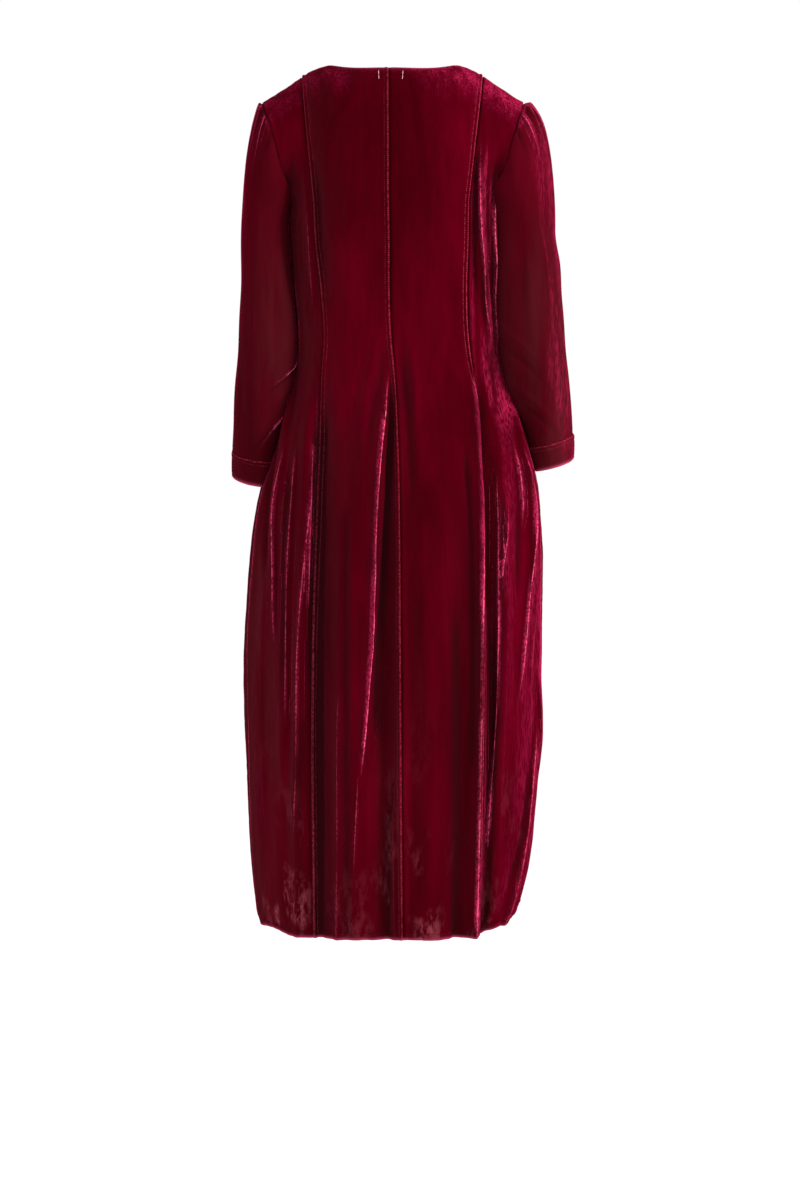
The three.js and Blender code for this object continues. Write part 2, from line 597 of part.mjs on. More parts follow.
// A tube of cloth through rings of points. `firstOut` and `lastOut` set the way out at its ends.
function tube(name, rows, turned, firstOut, lastOut) {
  const height = rows.length;
  const width = rows[0].length;
  const normal = (r, c) => {
    const up = rows[Math.max(0, r - 1)][c];
    const down = rows[Math.min(height - 1, r + 1)][c];
    const before = rows[r][(c + width - 1) % width];
    const after = rows[r][(c + 1) % width];
    const out = after.clone().sub(before).cross(down.clone().sub(up)).normalize();
    return turned ? out : out.negate();
  };
  const inner = rows.map((row, r) => row.map((point, c) => {
    let out = normal(r, c);
    if (r === 0) out = firstOut(c);
    if (r === height - 1 && lastOut) out = lastOut(c);
    return point.clone().addScaledVector(out, -CLOTH);
  }));
  return cloth(name, wall(rows, inner, true, !turned));
}

// The ring at which a sleeve meets its cuff
const cuffRing = (side) => SLEEVES[side].rings.at(-2);

function sleeve(side) {
  const firstOut = (c) => armholeOut(side, SLEEVE_TURNS[c]);
  const lastOut = (c) => ringOut(side, cuffRing(side), SLEEVE_TURNS[c]);
  return tube(`sleeve_${side}`, sleeveRings(side), side === "left", firstOut, lastOut);
}

function cuff(side) {
  const { rings } = SLEEVES[side];
  const [top, bottom] = rings.slice(-2);
  const rows = [0, 0.5, 1].map((share) => SLEEVE_TURNS.map((turn) => {
    const start = ringPoint(side, top, turn, CUFF_STEP);
    start.z -= SEAM_GAP / 2;
    return clearOfBody(side, start.lerp(ringPoint(side, bottom, turn, CUFF_STEP), share));
  }));
  const firstOut = (c) => ringOut(side, top, SLEEVE_TURNS[c]);
  return tube(`cuff_${side}`, rows, side === "left", firstOut);
}

function bodyPanels() {
  const sheets = {};
  for (const side of ["left", "right"]) {
    for (const face of ["back", "front"]) sheets[`${side}_${face}`] = quarterSheet(side, face);
  }
  // Seen from outside, the columns of a left front and a right back run the other way round
  const isTurned = (sheet) => (sheet.side === "left") === (sheet.face === "front");
  const normalAt = sharedNormals(
    Object.values(sheets).map((sheet) => ({ rows: sheet.rows, turned: isTurned(sheet) })),
  );
  const armRows = UPPER_ROWS.length;
  const panelOut = (point, r) => {
    const out = normalAt(point);
    const isShoulder = r === 0 && Math.abs(point.y - SHOULDER.seamY) < 0.01;
    return isShoulder ? out.setY(0).normalize() : out;
  };
  const outOf = (side, face, sideColumn) => (point, r, c) => {
    if (c !== sideColumn || r > armRows) return panelOut(point, r);
    const share = r === armRows ? 0 : UPPER_ROWS[r];
    return armholeOut(side, face === "back" ? mix(-90, 90, share) : mix(270, 90, share));
  };

  const meshes = [];
  for (const side of ["left", "right"]) {
    const sheet = sheets[`${side}_back`];
    const { rows, seamColumn } = sheet;
    const turned = isTurned(sheet);
    const last = rows[0].length - 1;
    const centre = rows.map((row) => row.slice(0, seamColumn + 1));
    const flank = rows.map((row) => row.slice(seamColumn));
    const sewn = { first: true, last: true };
    meshes.push(panel(`centre_back_${side}`, centre, panelOut, sewn, turned));
    const flankOut = outOf(side, "back", last - seamColumn);
    meshes.push(panel(`side_back_${side}`, flank, flankOut, sewn, turned));
  }
  const left = sheets.left_front.rows;
  const right = sheets.right_front.rows;
  const width = left[0].length - 1;
  const front = left.map((row, r) => [...row.slice(1).reverse(), ...right[r]]);
  const frontOut = (point, r, c) => {
    if (c === 0) return outOf("left", "front", 0)(point, r, 0);
    return outOf("right", "front", 2 * width)(point, r, c);
  };
  meshes.push(panel("front", front, frontOut, { first: true, last: true }, false));
  return meshes;
}

const dress = new THREE.Group();
dress.add(...bodyPanels());
for (const side of ["left", "right"]) dress.add(sleeve(side), cuff(side));

export default dress;
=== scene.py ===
"""A long-sleeved velvet midi dress as it is worn, seen from behind.

The form functions work in millimetres in the part's frame: +Z is up, the front faces -Y and the
wearer's left is +X. Each panel is a thin shell over its solid, with finer folds, seams and sewing.
"""

import math

import bpy
import numpy as np
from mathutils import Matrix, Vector


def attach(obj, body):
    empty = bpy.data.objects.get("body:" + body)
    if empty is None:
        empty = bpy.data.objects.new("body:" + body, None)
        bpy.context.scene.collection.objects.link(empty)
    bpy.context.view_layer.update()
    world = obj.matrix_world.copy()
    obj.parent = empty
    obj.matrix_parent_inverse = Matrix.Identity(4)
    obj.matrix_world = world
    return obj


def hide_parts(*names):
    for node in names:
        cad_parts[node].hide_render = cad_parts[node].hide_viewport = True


MM = 0.001
CLOTH = 1.3
CUFF_CLOTH = 1.8
CUFF_SWELL = 1.6
SEAM_GAP = 0.3
SEAM_LAP = 0.3
RESTING_GAP = 0.4
# A distance that the look of no crest or seam reaches
FAR = 40

# The form of the body, as the solids have it
HEM_Z = -1205
UNDERARM_Z = -200
NECK_HALF_WIDTH = 92
NECK_DEPTH = {"back": 62, "front": 96}
NECK_RIDGE = 36
SHOULDER_X, SHOULDER_Z = 183, -54
SEAM_TOP_Z = -17
ARMHOLE_Y = 3
ARMHOLE_REACH = {"back": 66, "front": 60}
ARMHOLE_CURVE = {"back": 1.6, "front": 2.6}
SECTION_POWER = {"back": 2.35, "front": 2.5}
UPPER_POWER = {"back": 0.95, "front": 1.35}
NECK_SHARE = {"back": 0.61, "front": 0.72}
NECK_SPREAD = {"back": 0.55, "front": 0}
FRONT_GUIDE_X = 105
SIDE_HEM_LIFT = 24
FOLD_FADE = 130
FOLD_ARC = 165

# Finer forms that only this script adds. A swell has its height, x and reach, a corner its side, x
# and height. Creases rise over BRIGHT_CREASE to show a painted bright line.
SHOULDER_SWELLS = ((2.6, 120, 19), (-1.6, NECK_HALF_WIDTH, 7))
HEM_CORNERS = ((1, 130, 10), (-1, 105, 8))
SIDE_LAP = {"left": 9, "right": 18}
CREASE_FADE = 70
CREASE_GAIN = 1.3
GATHER_GAIN = 1.5
CREST_REACH = 7
LINE_REACH = 10
DEEP_CREASE = 2
BRIGHT_CREASE = 1.5
DEGREE_ARC = 0.75
HEAD_ARC = 1.25

# Sewn edges: the depth and reach of the roll, where its ridge and groove run and their reach, and
# how far in a hem and a cuff are stitched
EDGE_ROLL, ROLL_REACH = 1.3, 1.1
RIDGE_AT, RIDGE_REACH = 3.2, 1.9
GROOVE_AT, GROOVE_REACH = 7, 2.2
HEM_BAND = 9
CUFF_BAND = 5
# Heights of the ridge and the groove beside a sewn edge; over and under are a lapped seam's sides
SEAM_SHAPES = {
    "princess over": (1.3, 0.7),
    "princess under": (-0.6, 0.2),
    "centre over": (0.9, 0.2),
    "centre under": (-0.5, 0),
    "side": (0.2, 0.1),
    "armhole": (0.3, 0),
    "cuff over": (0.4, 0.2),
    "cuff under": (0.35, 0.25),
}
# Stitches: pitch, length, radius and height over the cloth
STITCHES = {"hem": (3.6, 2.7, 0.32, 0.1), "cuff": (3.2, 2.4, 0.28, 0.1), "tack": (7.5, 7, 0.4, 0.3)}

# How much painted sheen the nap gets where the cloth faces right and left. On the right it shows past
# SHEEN_X, furthest round PATCH_Z, and mostly along the crests below SKIRT_NAP_Z.
BODY_NAP = (0.75, 0.08)
SLEEVE_NAP = {"left": (0, 0.05), "right": (0.42, 0)}
SHEEN_X = -90
PATCH_Z, PATCH_REACH = -440, 80
SKIRT_NAP_Z = -470

# The colours that the base of the velvet turns to, and its threads
COLORS = {
    # painted haze of dull, brownish reflected light where the cloth turns left, and down the sleeves
    "dull": (0.052, 0.0046, 0.0074),
    # painted shade in troughs, beside crests and beside the sleeves
    "shade": (0.019, 0.0016, 0.0026),
    # painted highlights: a glow beside each crest, a thin line on it, sheen where the cloth faces right and
    # up, and lines along raised seams
    "halo": (0.36, 0.016, 0.07),
    "crest": (0.85, 0.09, 0.19),
    "painted_sheen": (0.32, 0.010, 0.052),
    "sewn": (0.52, 0.045, 0.085),
    # painted shade in the groove on a seam's under side
    "groove": (0.008, 0.0001, 0.0006),
    # a painted highlight along rolled edges at the neck, hem and cuffs
    "edge": (0.46, 0.05, 0.12),
    # crushed pile near the hem, with a painted glossy sheen
    "crush_and_sheen": (0.34, 0.062, 0.085),
    "thread": (0.09, 0.001, 0.01),
    "tack_thread": (0.75, 0.45, 0.45),
}

# Each side's back: its seed, the x of its tack, and how bold the seams of its two panels look
BACKS = {"left": (20, 21, 0.36, 0.3), "right": (40, -13, 0.9, 1)}
# Each sleeve's seed, and the front's
SLEEVE_SEEDS = {"left": 90, "right": 110}
FRONT_SEED = 70
# Grid lines over each part, and the usual width of the centre and side panels
BACK_ROWS, FRONT_ROWS = 58, 44
CENTRE_COLUMNS, CENTRE_WIDTH = 74, 110
SIDE_COLUMNS, SIDE_WIDTH = 78, 130
FRONT_COLUMNS = 38, 46
SLEEVE_TURNS, CUFF_TURNS = 180, 150

# The studio, in metres. A light has its place, what it faces, its watts, its size and its colour.
FLOOR_Z, FLOOR_REACH = -1.56, 60.0
LIGHTS = {
    "key": ((-2.6, 1.2, 0.2), (0, 0, -0.65), 90, 0.6, (1.0, 0.97, 0.96)),
    "fill": ((1.5, 2.9, 0.5), (0, 0, -0.45), 20, 1.6, (1.0, 0.95, 0.9)),
    "top": ((-0.4, 0.9, 2.2), (0, 0, -0.3), 16, 1.6, (1, 1, 1)),
}
CAMERA_PLACE = (-0.0098, 3.0, -0.748)
CAMERA_LENS, CAMERA_SENSOR = 64.29, 36


def table(columns, *rows):
    """Rows of numbers under named columns, as one array for each name."""
    return dict(zip(columns.split(), np.array(rows, float).T))


# Half-widths to each side and depths to the back and front
BODY = table(
    "z left right back front",
    (-200, 148, 150, 93, 127),
    (-260, 148, 150, 90, 133),
    (-330, 143, 151, 85, 129),
    (-400, 140, 157, 85, 125),
    (-470, 149, 172, 94, 127),
    (-540, 168, 192, 106, 130),
    (-600, 187, 204, 115, 133),
    (-700, 200, 208, 124, 136),
    (-800, 206, 207, 129, 138),
    (-900, 206, 205, 131, 139),
    (-1000, 204, 201, 131, 139),
    (-1080, 200, 195, 130, 138),
    (-1140, 196, 186, 128, 135),
    (-1180, 191, 175, 125, 131),
    (-1205, 185, 162, 121, 126),
)

# How far the centre back seam and the princess seams stand from the middle
SEAMS = table(
    "z centre left right",
    (-17, 6, 128, 126),
    (-87, 6, 120, 114),
    (-145, 5, 115, 107),
    (-200, 5, 110, 105),
    (-257, 4, 107, 104),
    (-321, 4, 100, 102),
    (-386, 2, 95, 104),
    (-450, -4, 99, 112),
    (-504, -7, 102, 118),
    (-604, -10, 105, 122),
    (-797, -11, 110, 122),
    (-976, -12, 111, 120),
    (-1205, -14, 109, 115),
)

# The large folds, as the solids have them: each runs down through three points in z and x and
# rises from the wall, or sinks. Columns: z1 x1 z2 x2 z3 x3 rise wide_l wide_r, the last two its
# reach towards +X and -X.
FOLDS = {
    "back": [
        (-420, 8, -700, 27, -1060, 46, 13, 34, 9),
        (-430, 2, -700, 9, -1205, 10, -8, 10, 12),
        (-340, 0, -700, -10, -1205, -12, 4, 7, 5),
        (-340, -3, -700, -18, -1205, -21, -4, 5, 14),
        (-560, 60, -800, 66, -1205, 70, 5, 18, 20),
        (-420, 98, -800, 104, -1205, 102, -8, 8, 20),
        (-430, 112, -700, 122, -1205, 126, 6, 10, 7),
        (-520, 136, -800, 146, -1060, 146, 7, 9, 10),
        (-390, 129, -560, 152, -780, 163, 8, 10, 14),
        (-560, -50, -800, -54, -1205, -54, 6, 26, 20),
        (-560, -90, -800, -94, -1205, -92, -7, 18, 14),
        (-400, -104, -700, -118, -1205, -111, 9, 13, 5),
        (-400, -112, -700, -129, -1205, -121, -9, 6, 11),
        (-500, -142, -720, -148, -1110, -130, 9, 9, 12),
        (-420, -150, -640, -188, -860, -176, 8, 12, 12),
        (-820, -199, -1000, -190, -1205, -150, 7, 11, 12),
        (-95, -122, -250, -123, -430, -136, 7, 7, 9),
        (-150, -142, -250, -139, -440, -146, 5, 6, 8),
        (-80, -114, -250, -112, -440, -116, -4, 6, 5),
        (-95, 106, -250, 99, -400, 90, -4, 6, 12),
        (-110, 134, -250, 126, -420, 114, 4, 12, 10),
    ],
    "front": [
        (-330, 84, -700, 98, -1205, 104, 10, 20, 22),
        (-380, 52, -700, 58, -1205, 62, -7, 18, 16),
        (-470, 16, -800, 20, -1205, 14, 8, 22, 24),
        (-430, -26, -800, -30, -1205, -36, -7, 16, 20),
        (-330, -80, -700, -92, -1205, -90, 11, 22, 20),
        (-420, -122, -700, -132, -1205, -130, -6, 16, 14),
        (-480, -158, -800, -168, -1205, -146, 8, 14, 14),
        (-440, 132, -700, 140, -1140, 142, -6, 14, 16),
        (-500, 160, -800, 176, -1205, 168, 7, 14, 14),
    ],
}

# Finer creases over the large folds: rise, reach towards +X and -X, and the line in x and z
CREASES = {
    "back": [
        # the centre pleat's bright edge and the hollow beside it
        (3.4, 9, 2.6, [(4, -425), (9, -470), (16, -540), (23, -640), (28, -790), (36, -905), (44, -1000)]),
        (-3.2, 5, 6, [(0, -430), (5, -560), (12, -700), (20, -830), (22, -960)]),
        (2.0, 6, 4, [(46, -960), (50, -1050), (54, -1140)]),
        (1.6, 5, 4, [(-8, -950), (-1, -1030), (-2, -1120), (-3, -1205)]),
        (-1.6, 4, 5, [(-3, -960), (5, -1060), (6, -1205)]),
        # drag lines fanning from the waist end of the centre seam
        (1.5, 7, 5, [(14, -350), (22, -400), (34, -455), (46, -520)]),
        (-1.3, 6, 6, [(8, -380), (15, -430), (28, -500), (38, -570)]),
        (1.3, 6, 6, [(-12, -345), (-22, -400), (-30, -470), (-36, -560)]),
        (-1.2, 5, 7, [(-9, -400), (-16, -450), (-22, -530), (-26, -640)]),
        (1.0, 6, 8, [(-48, -400), (-54, -480), (-60, -560)]),
        # left centre panel
        (1.8, 5, 4, [(72, -840), (74, -960), (74, -1080), (75, -1205)]),
        (-1.5, 6, 6, [(62, -600), (64, -760), (63, -900), (62, -1205)]),
        (-2.4, 5, 5, [(92, -470), (95, -620), (97, -800), (97, -1000), (96, -1205)]),
        (2.2, 3, 4, [(100, -420), (101, -520), (106, -680), (107, -900), (107, -1205)]),
        # left side panel
        (2.6, 4, 3.2, [(108, -500), (111, -600), (113, -700), (114, -790)]),
        (-2.2, 4, 4, [(104, -480), (107, -600), (109, -720), (111, -900)]),
        (2.6, 5, 3, [(109, -560), (116, -650), (122, -720), (128, -820), (130, -980), (134, -1090)]),
        (2.4, 4, 3.4, [(131, -520), (136, -590), (142, -680), (144, -760), (145, -940)]),
        (-2.0, 5, 5, [(138, -540), (145, -640), (149, -760), (150, -900)]),
        (3.0, 6, 4, [(148, -520), (153, -560), (161, -610), (163, -650), (161, -740), (160, -830)]),
        (-3.0, 7, 5, [(158, -530), (170, -600), (174, -660), (173, -740)]),
        (1.6, 7, 6, [(176, -700), (180, -820), (178, -960), (172, -1080)]),
        (-1.4, 6, 6, [(122, -880), (126, -1000), (124, -1205)]),
        # right centre panel
        (1.4, 12, 9, [(-40, -720), (-46, -860), (-50, -1000), (-52, -1205)]),
        (-2.0, 7, 6, [(-84, -740), (-86, -880), (-86, -1020), (-84, -1205)]),
        (1.4, 6, 5, [(-66, -640), (-70, -780), (-70, -960)]),
        (3.0, 5, 2.6, [(-107, -420), (-112, -470), (-118, -560), (-121, -680), (-120, -860),
                       (-117, -1040), (-113, -1205)]),
        (-2.4, 4, 5, [(-96, -520), (-104, -640), (-107, -800), (-104, -1000)]),
        # right side panel
        (2.6, 3, 4, [(-141, -560), (-143, -640), (-144, -760), (-142, -860), (-138, -940),
                     (-131, -1030), (-127, -1110)]),
        (2.4, 3, 4, [(-157, -600), (-154, -660), (-149, -710), (-146, -780)]),
        (-2.2, 4, 4, [(-149, -590), (-149, -650), (-147, -690)]),
        (3.0, 4, 4, [(-164, -520), (-172, -570), (-176, -615), (-176, -660)]),
        (-2.4, 4, 5, [(-168, -600), (-170, -680), (-166, -760)]),
        (3.6, 6, 6, [(-177, -520), (-189, -580), (-194, -625), (-193, -680), (-184, -760),
                     (-176, -830), (-170, -900)]),
        (2.6, 3.4, 3.4, [(-197, -900), (-195, -950), (-187, -1040), (-177, -1105), (-163, -1170),
                         (-150, -1205)]),
        (1.8, 3, 3, [(-176, -1100), (-172, -1150), (-160, -1190)]),
        (-2.0, 4, 4, [(-186, -960), (-176, -1060), (-164, -1120), (-148, -1180)]),
        (-2.0, 5, 5, [(-136, -760), (-134, -900), (-130, -1060), (-126, -1205)]),
        # right side of the bodice
        (3.0, 3.4, 3.6, [(-121, -100), (-120, -160), (-121, -225), (-126, -290), (-129, -355),
                         (-141, -420)]),
        (-2.6, 3.4, 3.4, [(-129, -130), (-130, -220), (-133, -300), (-138, -360)]),
        (2.8, 3.4, 4, [(-143, -150), (-139, -220), (-142, -285), (-141, -350), (-149, -430)]),
        (-2.0, 3, 4, [(-114, -110), (-112, -200), (-112, -290), (-118, -360)]),
        (1.4, 5, 4, [(-134, -380), (-140, -450), (-150, -520)]),
        # left side of the bodice
        (-2.0, 4, 7, [(112, -120), (106, -200), (102, -290), (98, -360)]),
        (1.8, 5, 5, [(124, -140), (117, -220), (112, -300), (108, -370)]),
        (-1.6, 4, 5, [(134, -180), (128, -260), (122, -340)]),
        (1.8, 4, 4, [(138, -260), (131, -330), (127, -390), (132, -450)]),
        (-1.6, 4, 4, [(128, -400), (136, -470), (146, -540)]),
    ],
    "front": [
        (2.4, 6, 5, [(88, -310), (92, -420), (97, -600), (101, -860), (104, -1205)]),
        (-2.2, 6, 6, [(70, -380), (74, -560), (78, -820), (80, -1205)]),
        (2.2, 6, 6, [(20, -520), (20, -700), (19, -900), (15, -1205)]),
        (-1.8, 6, 7, [(-4, -560), (-6, -800), (-8, -1205)]),
        (2.2, 5, 6, [(-54, -470), (-58, -700), (-60, -980), (-62, -1205)]),
        (2.8, 6, 5, [(-84, -320), (-88, -470), (-92, -700), (-91, -1205)]),
        (-2.2, 5, 6, [(-104, -420), (-108, -620), (-110, -900), (-108, -1205)]),
        (2.4, 5, 5, [(-146, -500), (-158, -640), (-166, -820), (-160, -1040), (-148, -1205)]),
        (2.2, 5, 5, [(150, -520), (164, -680), (172, -860), (168, -1205)]),
        (-1.8, 6, 6, [(124, -460), (132, -640), (136, -900)]),
        (1.8, 5, 6, [(118, -200), (122, -280), (120, -360)]),
        (1.8, 6, 5, [(-120, -190), (-125, -270), (-124, -350)]),
        (-1.4, 8, 8, [(0, -200), (0, -260), (0, -330)]),
    ],
}

# Crushed places above the hem: x, reach and strength
CRUSHED = {
    "back": [(150, 34, 1), (4, 8, 0.8), (-38, 16, 0.9), (-157, 14, 0.6)],
    "front": [(-128, 30, 0.8), (20, 16, 0.7), (104, 22, 0.8)],
}

# Creases down the sides of the body: rise, reach, and the line in y and z
SIDE_CREASES = {
    "left": [
        (2.6, 8, [(46, -540), (50, -700), (54, -900), (50, -1205)]),
        (-2.4, 9, [(30, -520), (32, -760), (34, -1205)]),
        (1.2, 6, [(16, -600), (14, -760), (10, -980)]),
        (2.8, 8, [(-26, -500), (-30, -700), (-36, -950), (-32, -1205)]),
        (-2.2, 8, [(-46, -560), (-50, -800), (-52, -1205)]),
        (2.4, 7, [(-66, -520), (-72, -760), (-76, -980)]),
        (1.6, 9, [(72, -800), (74, -980), (70, -1205)]),
        (-1.6, 6, [(-12, -760), (-14, -940), (-14, -1205)]),
        (1.4, 6, [(26, -225), (24, -300), (28, -400)]),
        (1.6, 6, [(-30, -240), (-34, -320), (-30, -430)]),
    ],
    "right": [
        (2.8, 8, [(38, -500), (44, -640), (46, -860), (42, -1205)]),
        (-2.4, 8, [(24, -520), (26, -760), (26, -1205)]),
        (2.0, 6, [(60, -640), (66, -820), (64, -1020)]),
        (1.2, 7, [(8, -620), (6, -820), (8, -1080)]),
        (-2.0, 8, [(-18, -540), (-22, -760), (-20, -1205)]),
        (2.8, 8, [(-38, -480), (-44, -700), (-50, -940), (-46, -1205)]),
        (-2.0, 7, [(-60, -600), (-64, -840), (-64, -1205)]),
        (2.2, 7, [(-78, -560), (-84, -800), (-84, -1060)]),
        (1.6, 6, [(30, -230), (28, -310), (32, -420)]),
        (1.4, 6, [(-26, -235), (-30, -310), (-28, -400)]),
    ],
}

SLEEVE_COLUMNS = "z x y wide deep lean_x lean_y"
SLEEVES = {
    "left": {
        "sign": 1,
        "push": (54, -60),
        "rings": table(
            SLEEVE_COLUMNS,
            (-235, 179.5, 8, 32, 54, 0.05, 0),
            (-290, 178, 14, 33.5, 53, 0.04, 0),
            (-345, 176, 20, 36.5, 51, 0.04, -0.04),
            (-400, 176, 24, 39, 49, 0.06, -0.08),
            (-450, 180, 22, 38.5, 47, 0.1, -0.14),
            (-500, 185.5, 16, 36.5, 44, 0.14, -0.2),
            (-545, 189.5, 9, 34.5, 41, 0.16, -0.26),
            (-580, 191, 4, 32, 39, 0.16, -0.28),
        ),
    },
    "right": {
        "sign": -1,
        "push": (120, -40),
        "rings": table(
            SLEEVE_COLUMNS,
            (-235, 189.5, 8, 37, 54, 0.08, 0),
            (-290, 193, 14, 40, 53, 0.08, 0),
            (-345, 196, 20, 40, 51, 0.1, -0.04),
            (-400, 199.5, 22, 40.5, 49, 0.14, -0.08),
            (-450, 205.5, 19, 39, 47, 0.2, -0.12),
            (-490, 212, 13, 36.5, 44, 0.24, -0.18),
            (-524, 217, 8, 34, 41, 0.26, -0.22),
            (-558, 220.5, 4, 31.5, 39, 0.26, -0.22),
        ),
    },
}


# Gathers of a sleeve head: the place in degrees, 90 at the shoulder point and less at the back,
# then the rise, the length down the cap as a share, and the width and the drift in degrees
GATHERS = [
    (26, 1.5, 0.5, 5.5, -4),
    (42, 3, 0.75, 5.5, -6),
    (58, 5.5, 0.6, 6, 2),
    (74, 4, 0.95, 5.5, -3),
    (90, 5.5, 0.7, 6, -8),
    (106, 4, 0.9, 5.5, 4),
    (123, 4.5, 0.6, 5.5, 5),
    (140, 2, 0.75, 5.5, 4),
]
FINE_GATHERS = [
    (20, -1.2, 0.5, 2.6, -4),
    (34, 1.2, 0.7, 2.4, -8),
    (49, -2.2, 0.6, 2.4, -5),
    (57, 3.0, 0.5, 1.9, 6),
    (63, -2.8, 0.8, 2.6, 2),
    (70, 1.6, 0.45, 1.6, -3),
    (79, 3.2, 0.8, 1.8, -9),
    (84, -2.6, 0.8, 2.2, -8),
    (89, 2.6, 0.6, 1.7, -12),
    (95, 1.2, 0.9, 2.0, 3),
    (101, -2.4, 0.7, 2.2, 2),
    (108, 2.6, 0.5, 1.8, 6),
    (117, -1.8, 0.8, 2.4, 6),
    (127, 2.0, 0.6, 2.0, 8),
    (136, -1.2, 0.5, 2.4, 6),
    (147, 1.0, 0.6, 2.4, 8),
]
# Folds of the lower sleeve: rise, reach, and the line as turn in degrees and height
DRAGS = {
    "left": [
        (3.0, 9, [(-76, -408), (-56, -422), (-38, -436)]),
        (3.2, 10, [(-66, -474), (-45, -493), (-26, -512)]),
        (1.4, 5, [(-52, -392), (-30, -404), (-8, -430)]),
        (-1.6, 5, [(-62, -424), (-42, -438), (-20, -452)]),
        (1.4, 5, [(-50, -452), (-28, -470), (2, -500)]),
        (-1.5, 6, [(-52, -490), (-30, -506), (2, -528)]),
        (1.2, 6, [(20, -300), (26, -360), (24, -420)]),
        (-1.2, 7, [(44, -330), (48, -400), (42, -470)]),
        (1.2, 5, [(70, -380), (60, -440), (48, -500)]),
        (1.0, 6, [(-20, -260), (-14, -310), (-18, -360)]),
        (1.8, 7, [(150, -400), (180, -430), (215, -455)]),
        (-1.6, 7, [(140, -440), (175, -462), (210, -480)]),
    ],
    "right": [
        (1.5, 10, [(-70, -350), (-50, -375), (-30, -400)]),
        (3.0, 12, [(200, -430), (218, -455), (236, -480)]),
        (1.2, 5, [(-60, -356), (-38, -378), (-12, -410)]),
        (-1.2, 5, [(-62, -380), (-40, -400), (-14, -432)]),
        (1.2, 5, [(-50, -440), (-24, -462), (4, -490)]),
        (-1.2, 6, [(-46, -462), (-20, -484), (10, -506)]),
        (1.4, 6, [(24, -290), (30, -350), (28, -420)]),
        (-1.2, 6, [(50, -320), (46, -400), (52, -470)]),
        (1.3, 5, [(76, -360), (64, -420), (60, -490)]),
        (1.0, 6, [(-16, -250), (-10, -300), (-14, -350)]),
        (1.8, 7, [(150, -380), (182, -410), (218, -430)]),
    ],
}


def smooth(t):
    t = np.clip(t, 0, 1)
    return t * t * (3 - 2 * t)


def mix(a, b, t):
    return a + (b - a) * t


def bell(t):
    return np.exp(-t * t)


def unit(v):
    return v / np.maximum(np.linalg.norm(v, axis=-1, keepdims=True), 1e-9)


def along(rows, key, z):
    """A smooth curve through a table's rows, read at heights z."""
    heights, values = rows["z"], rows[key]
    z = np.clip(z, heights[-1], heights[0])
    i = np.clip(np.searchsorted(-heights, -z, side="right") - 1, 0, len(heights) - 2)
    slopes = np.zeros(len(heights))
    slopes[1:-1] = (values[2:] - values[:-2]) / (heights[2:] - heights[:-2])
    slopes[-1] = (values[-1] - values[-2]) / (heights[-1] - heights[-2])
    span = heights[i + 1] - heights[i]
    t = (z - heights[i]) / span
    bend = (t - 1) ** 2 * t * slopes[i] + t * t * (t - 1) * slopes[i + 1]
    return mix(values[i], values[i + 1], smooth(t)) + bend * span


def shown_between(z, top, foot, fade):
    """1 between two heights. It fades at the top, and at the foot unless that is the hem."""
    shown = smooth((top - z) / fade)
    return shown * smooth((z - foot) / fade) if foot > HEM_Z else shown


def half_width(turn, z):
    return np.where(turn < 0, along(BODY, "right", z), along(BODY, "left", z))


def turn_at(x, z, face):
    power = SECTION_POWER[face]
    share = np.minimum(1, np.abs(x) / half_width(x, z))
    turn = np.arctan2(share, np.maximum(0, 1 - share**power) ** (1 / power))
    return np.where(np.asarray(x) < 0, -turn, turn)


def section(turn, z, face):
    """Points of the body's smooth section, and the way out from it."""
    power = SECTION_POWER[face]
    sine, cosine = np.sin(turn), np.abs(np.cos(turn))
    size = (np.abs(sine) ** power + cosine**power) ** (-1 / power)
    wide, deep = half_width(turn, z), along(BODY, face, z)
    way = 1 if face == "back" else -1
    point = np.stack([wide * sine * size, ARMHOLE_Y + way * deep * cosine * size, z + 0 * turn], -1)
    out_x = np.abs(sine) ** (power - 1) * np.sign(sine) / wide
    out_y = way * cosine ** (power - 1) / deep
    return point, unit(np.stack([out_x, out_y, 0 * out_x], -1))


def fold_rise(turn, z, face, hollows_only=False):
    """How far the large folds rise from the wall."""
    level = np.minimum(z, UNDERARM_Z)
    rise = np.zeros(np.broadcast(turn, z).shape)
    for z1, x1, z2, x2, z3, x3, high, wide_l, wide_r in FOLDS[face]:
        if hollows_only:
            high = min(0, high)
        x = x1 * (z - z2) * (z - z3) / ((z1 - z2) * (z1 - z3))
        x = x + x2 * (z - z1) * (z - z3) / ((z2 - z1) * (z2 - z3))
        x = x + x3 * (z - z1) * (z - z2) / ((z3 - z1) * (z3 - z2))
        away = (turn - turn_at(x, level, face)) * FOLD_ARC
        share = away / np.where(away > 0, wide_l, wide_r)
        rise = rise + high * shown_between(z, z1, z3, FOLD_FADE) * bell(share)
    return rise


def body_points(turn, z, face):
    point, out = section(turn, z, face)
    edge = 1 - smooth((np.abs(turn) - 1.25) / 0.3)
    return point + out * (fold_rise(turn, z, face) * edge)[..., None]


def hem_lift(turn, z, face):
    """How far the hem rises at the wearer's right side."""
    low = smooth((UNDERARM_Z - 600 - z) / 400)
    place = turn if face == "back" else -math.pi - turn
    return SIDE_HEM_LIFT * low * bell((place + 1.5) / 0.35)


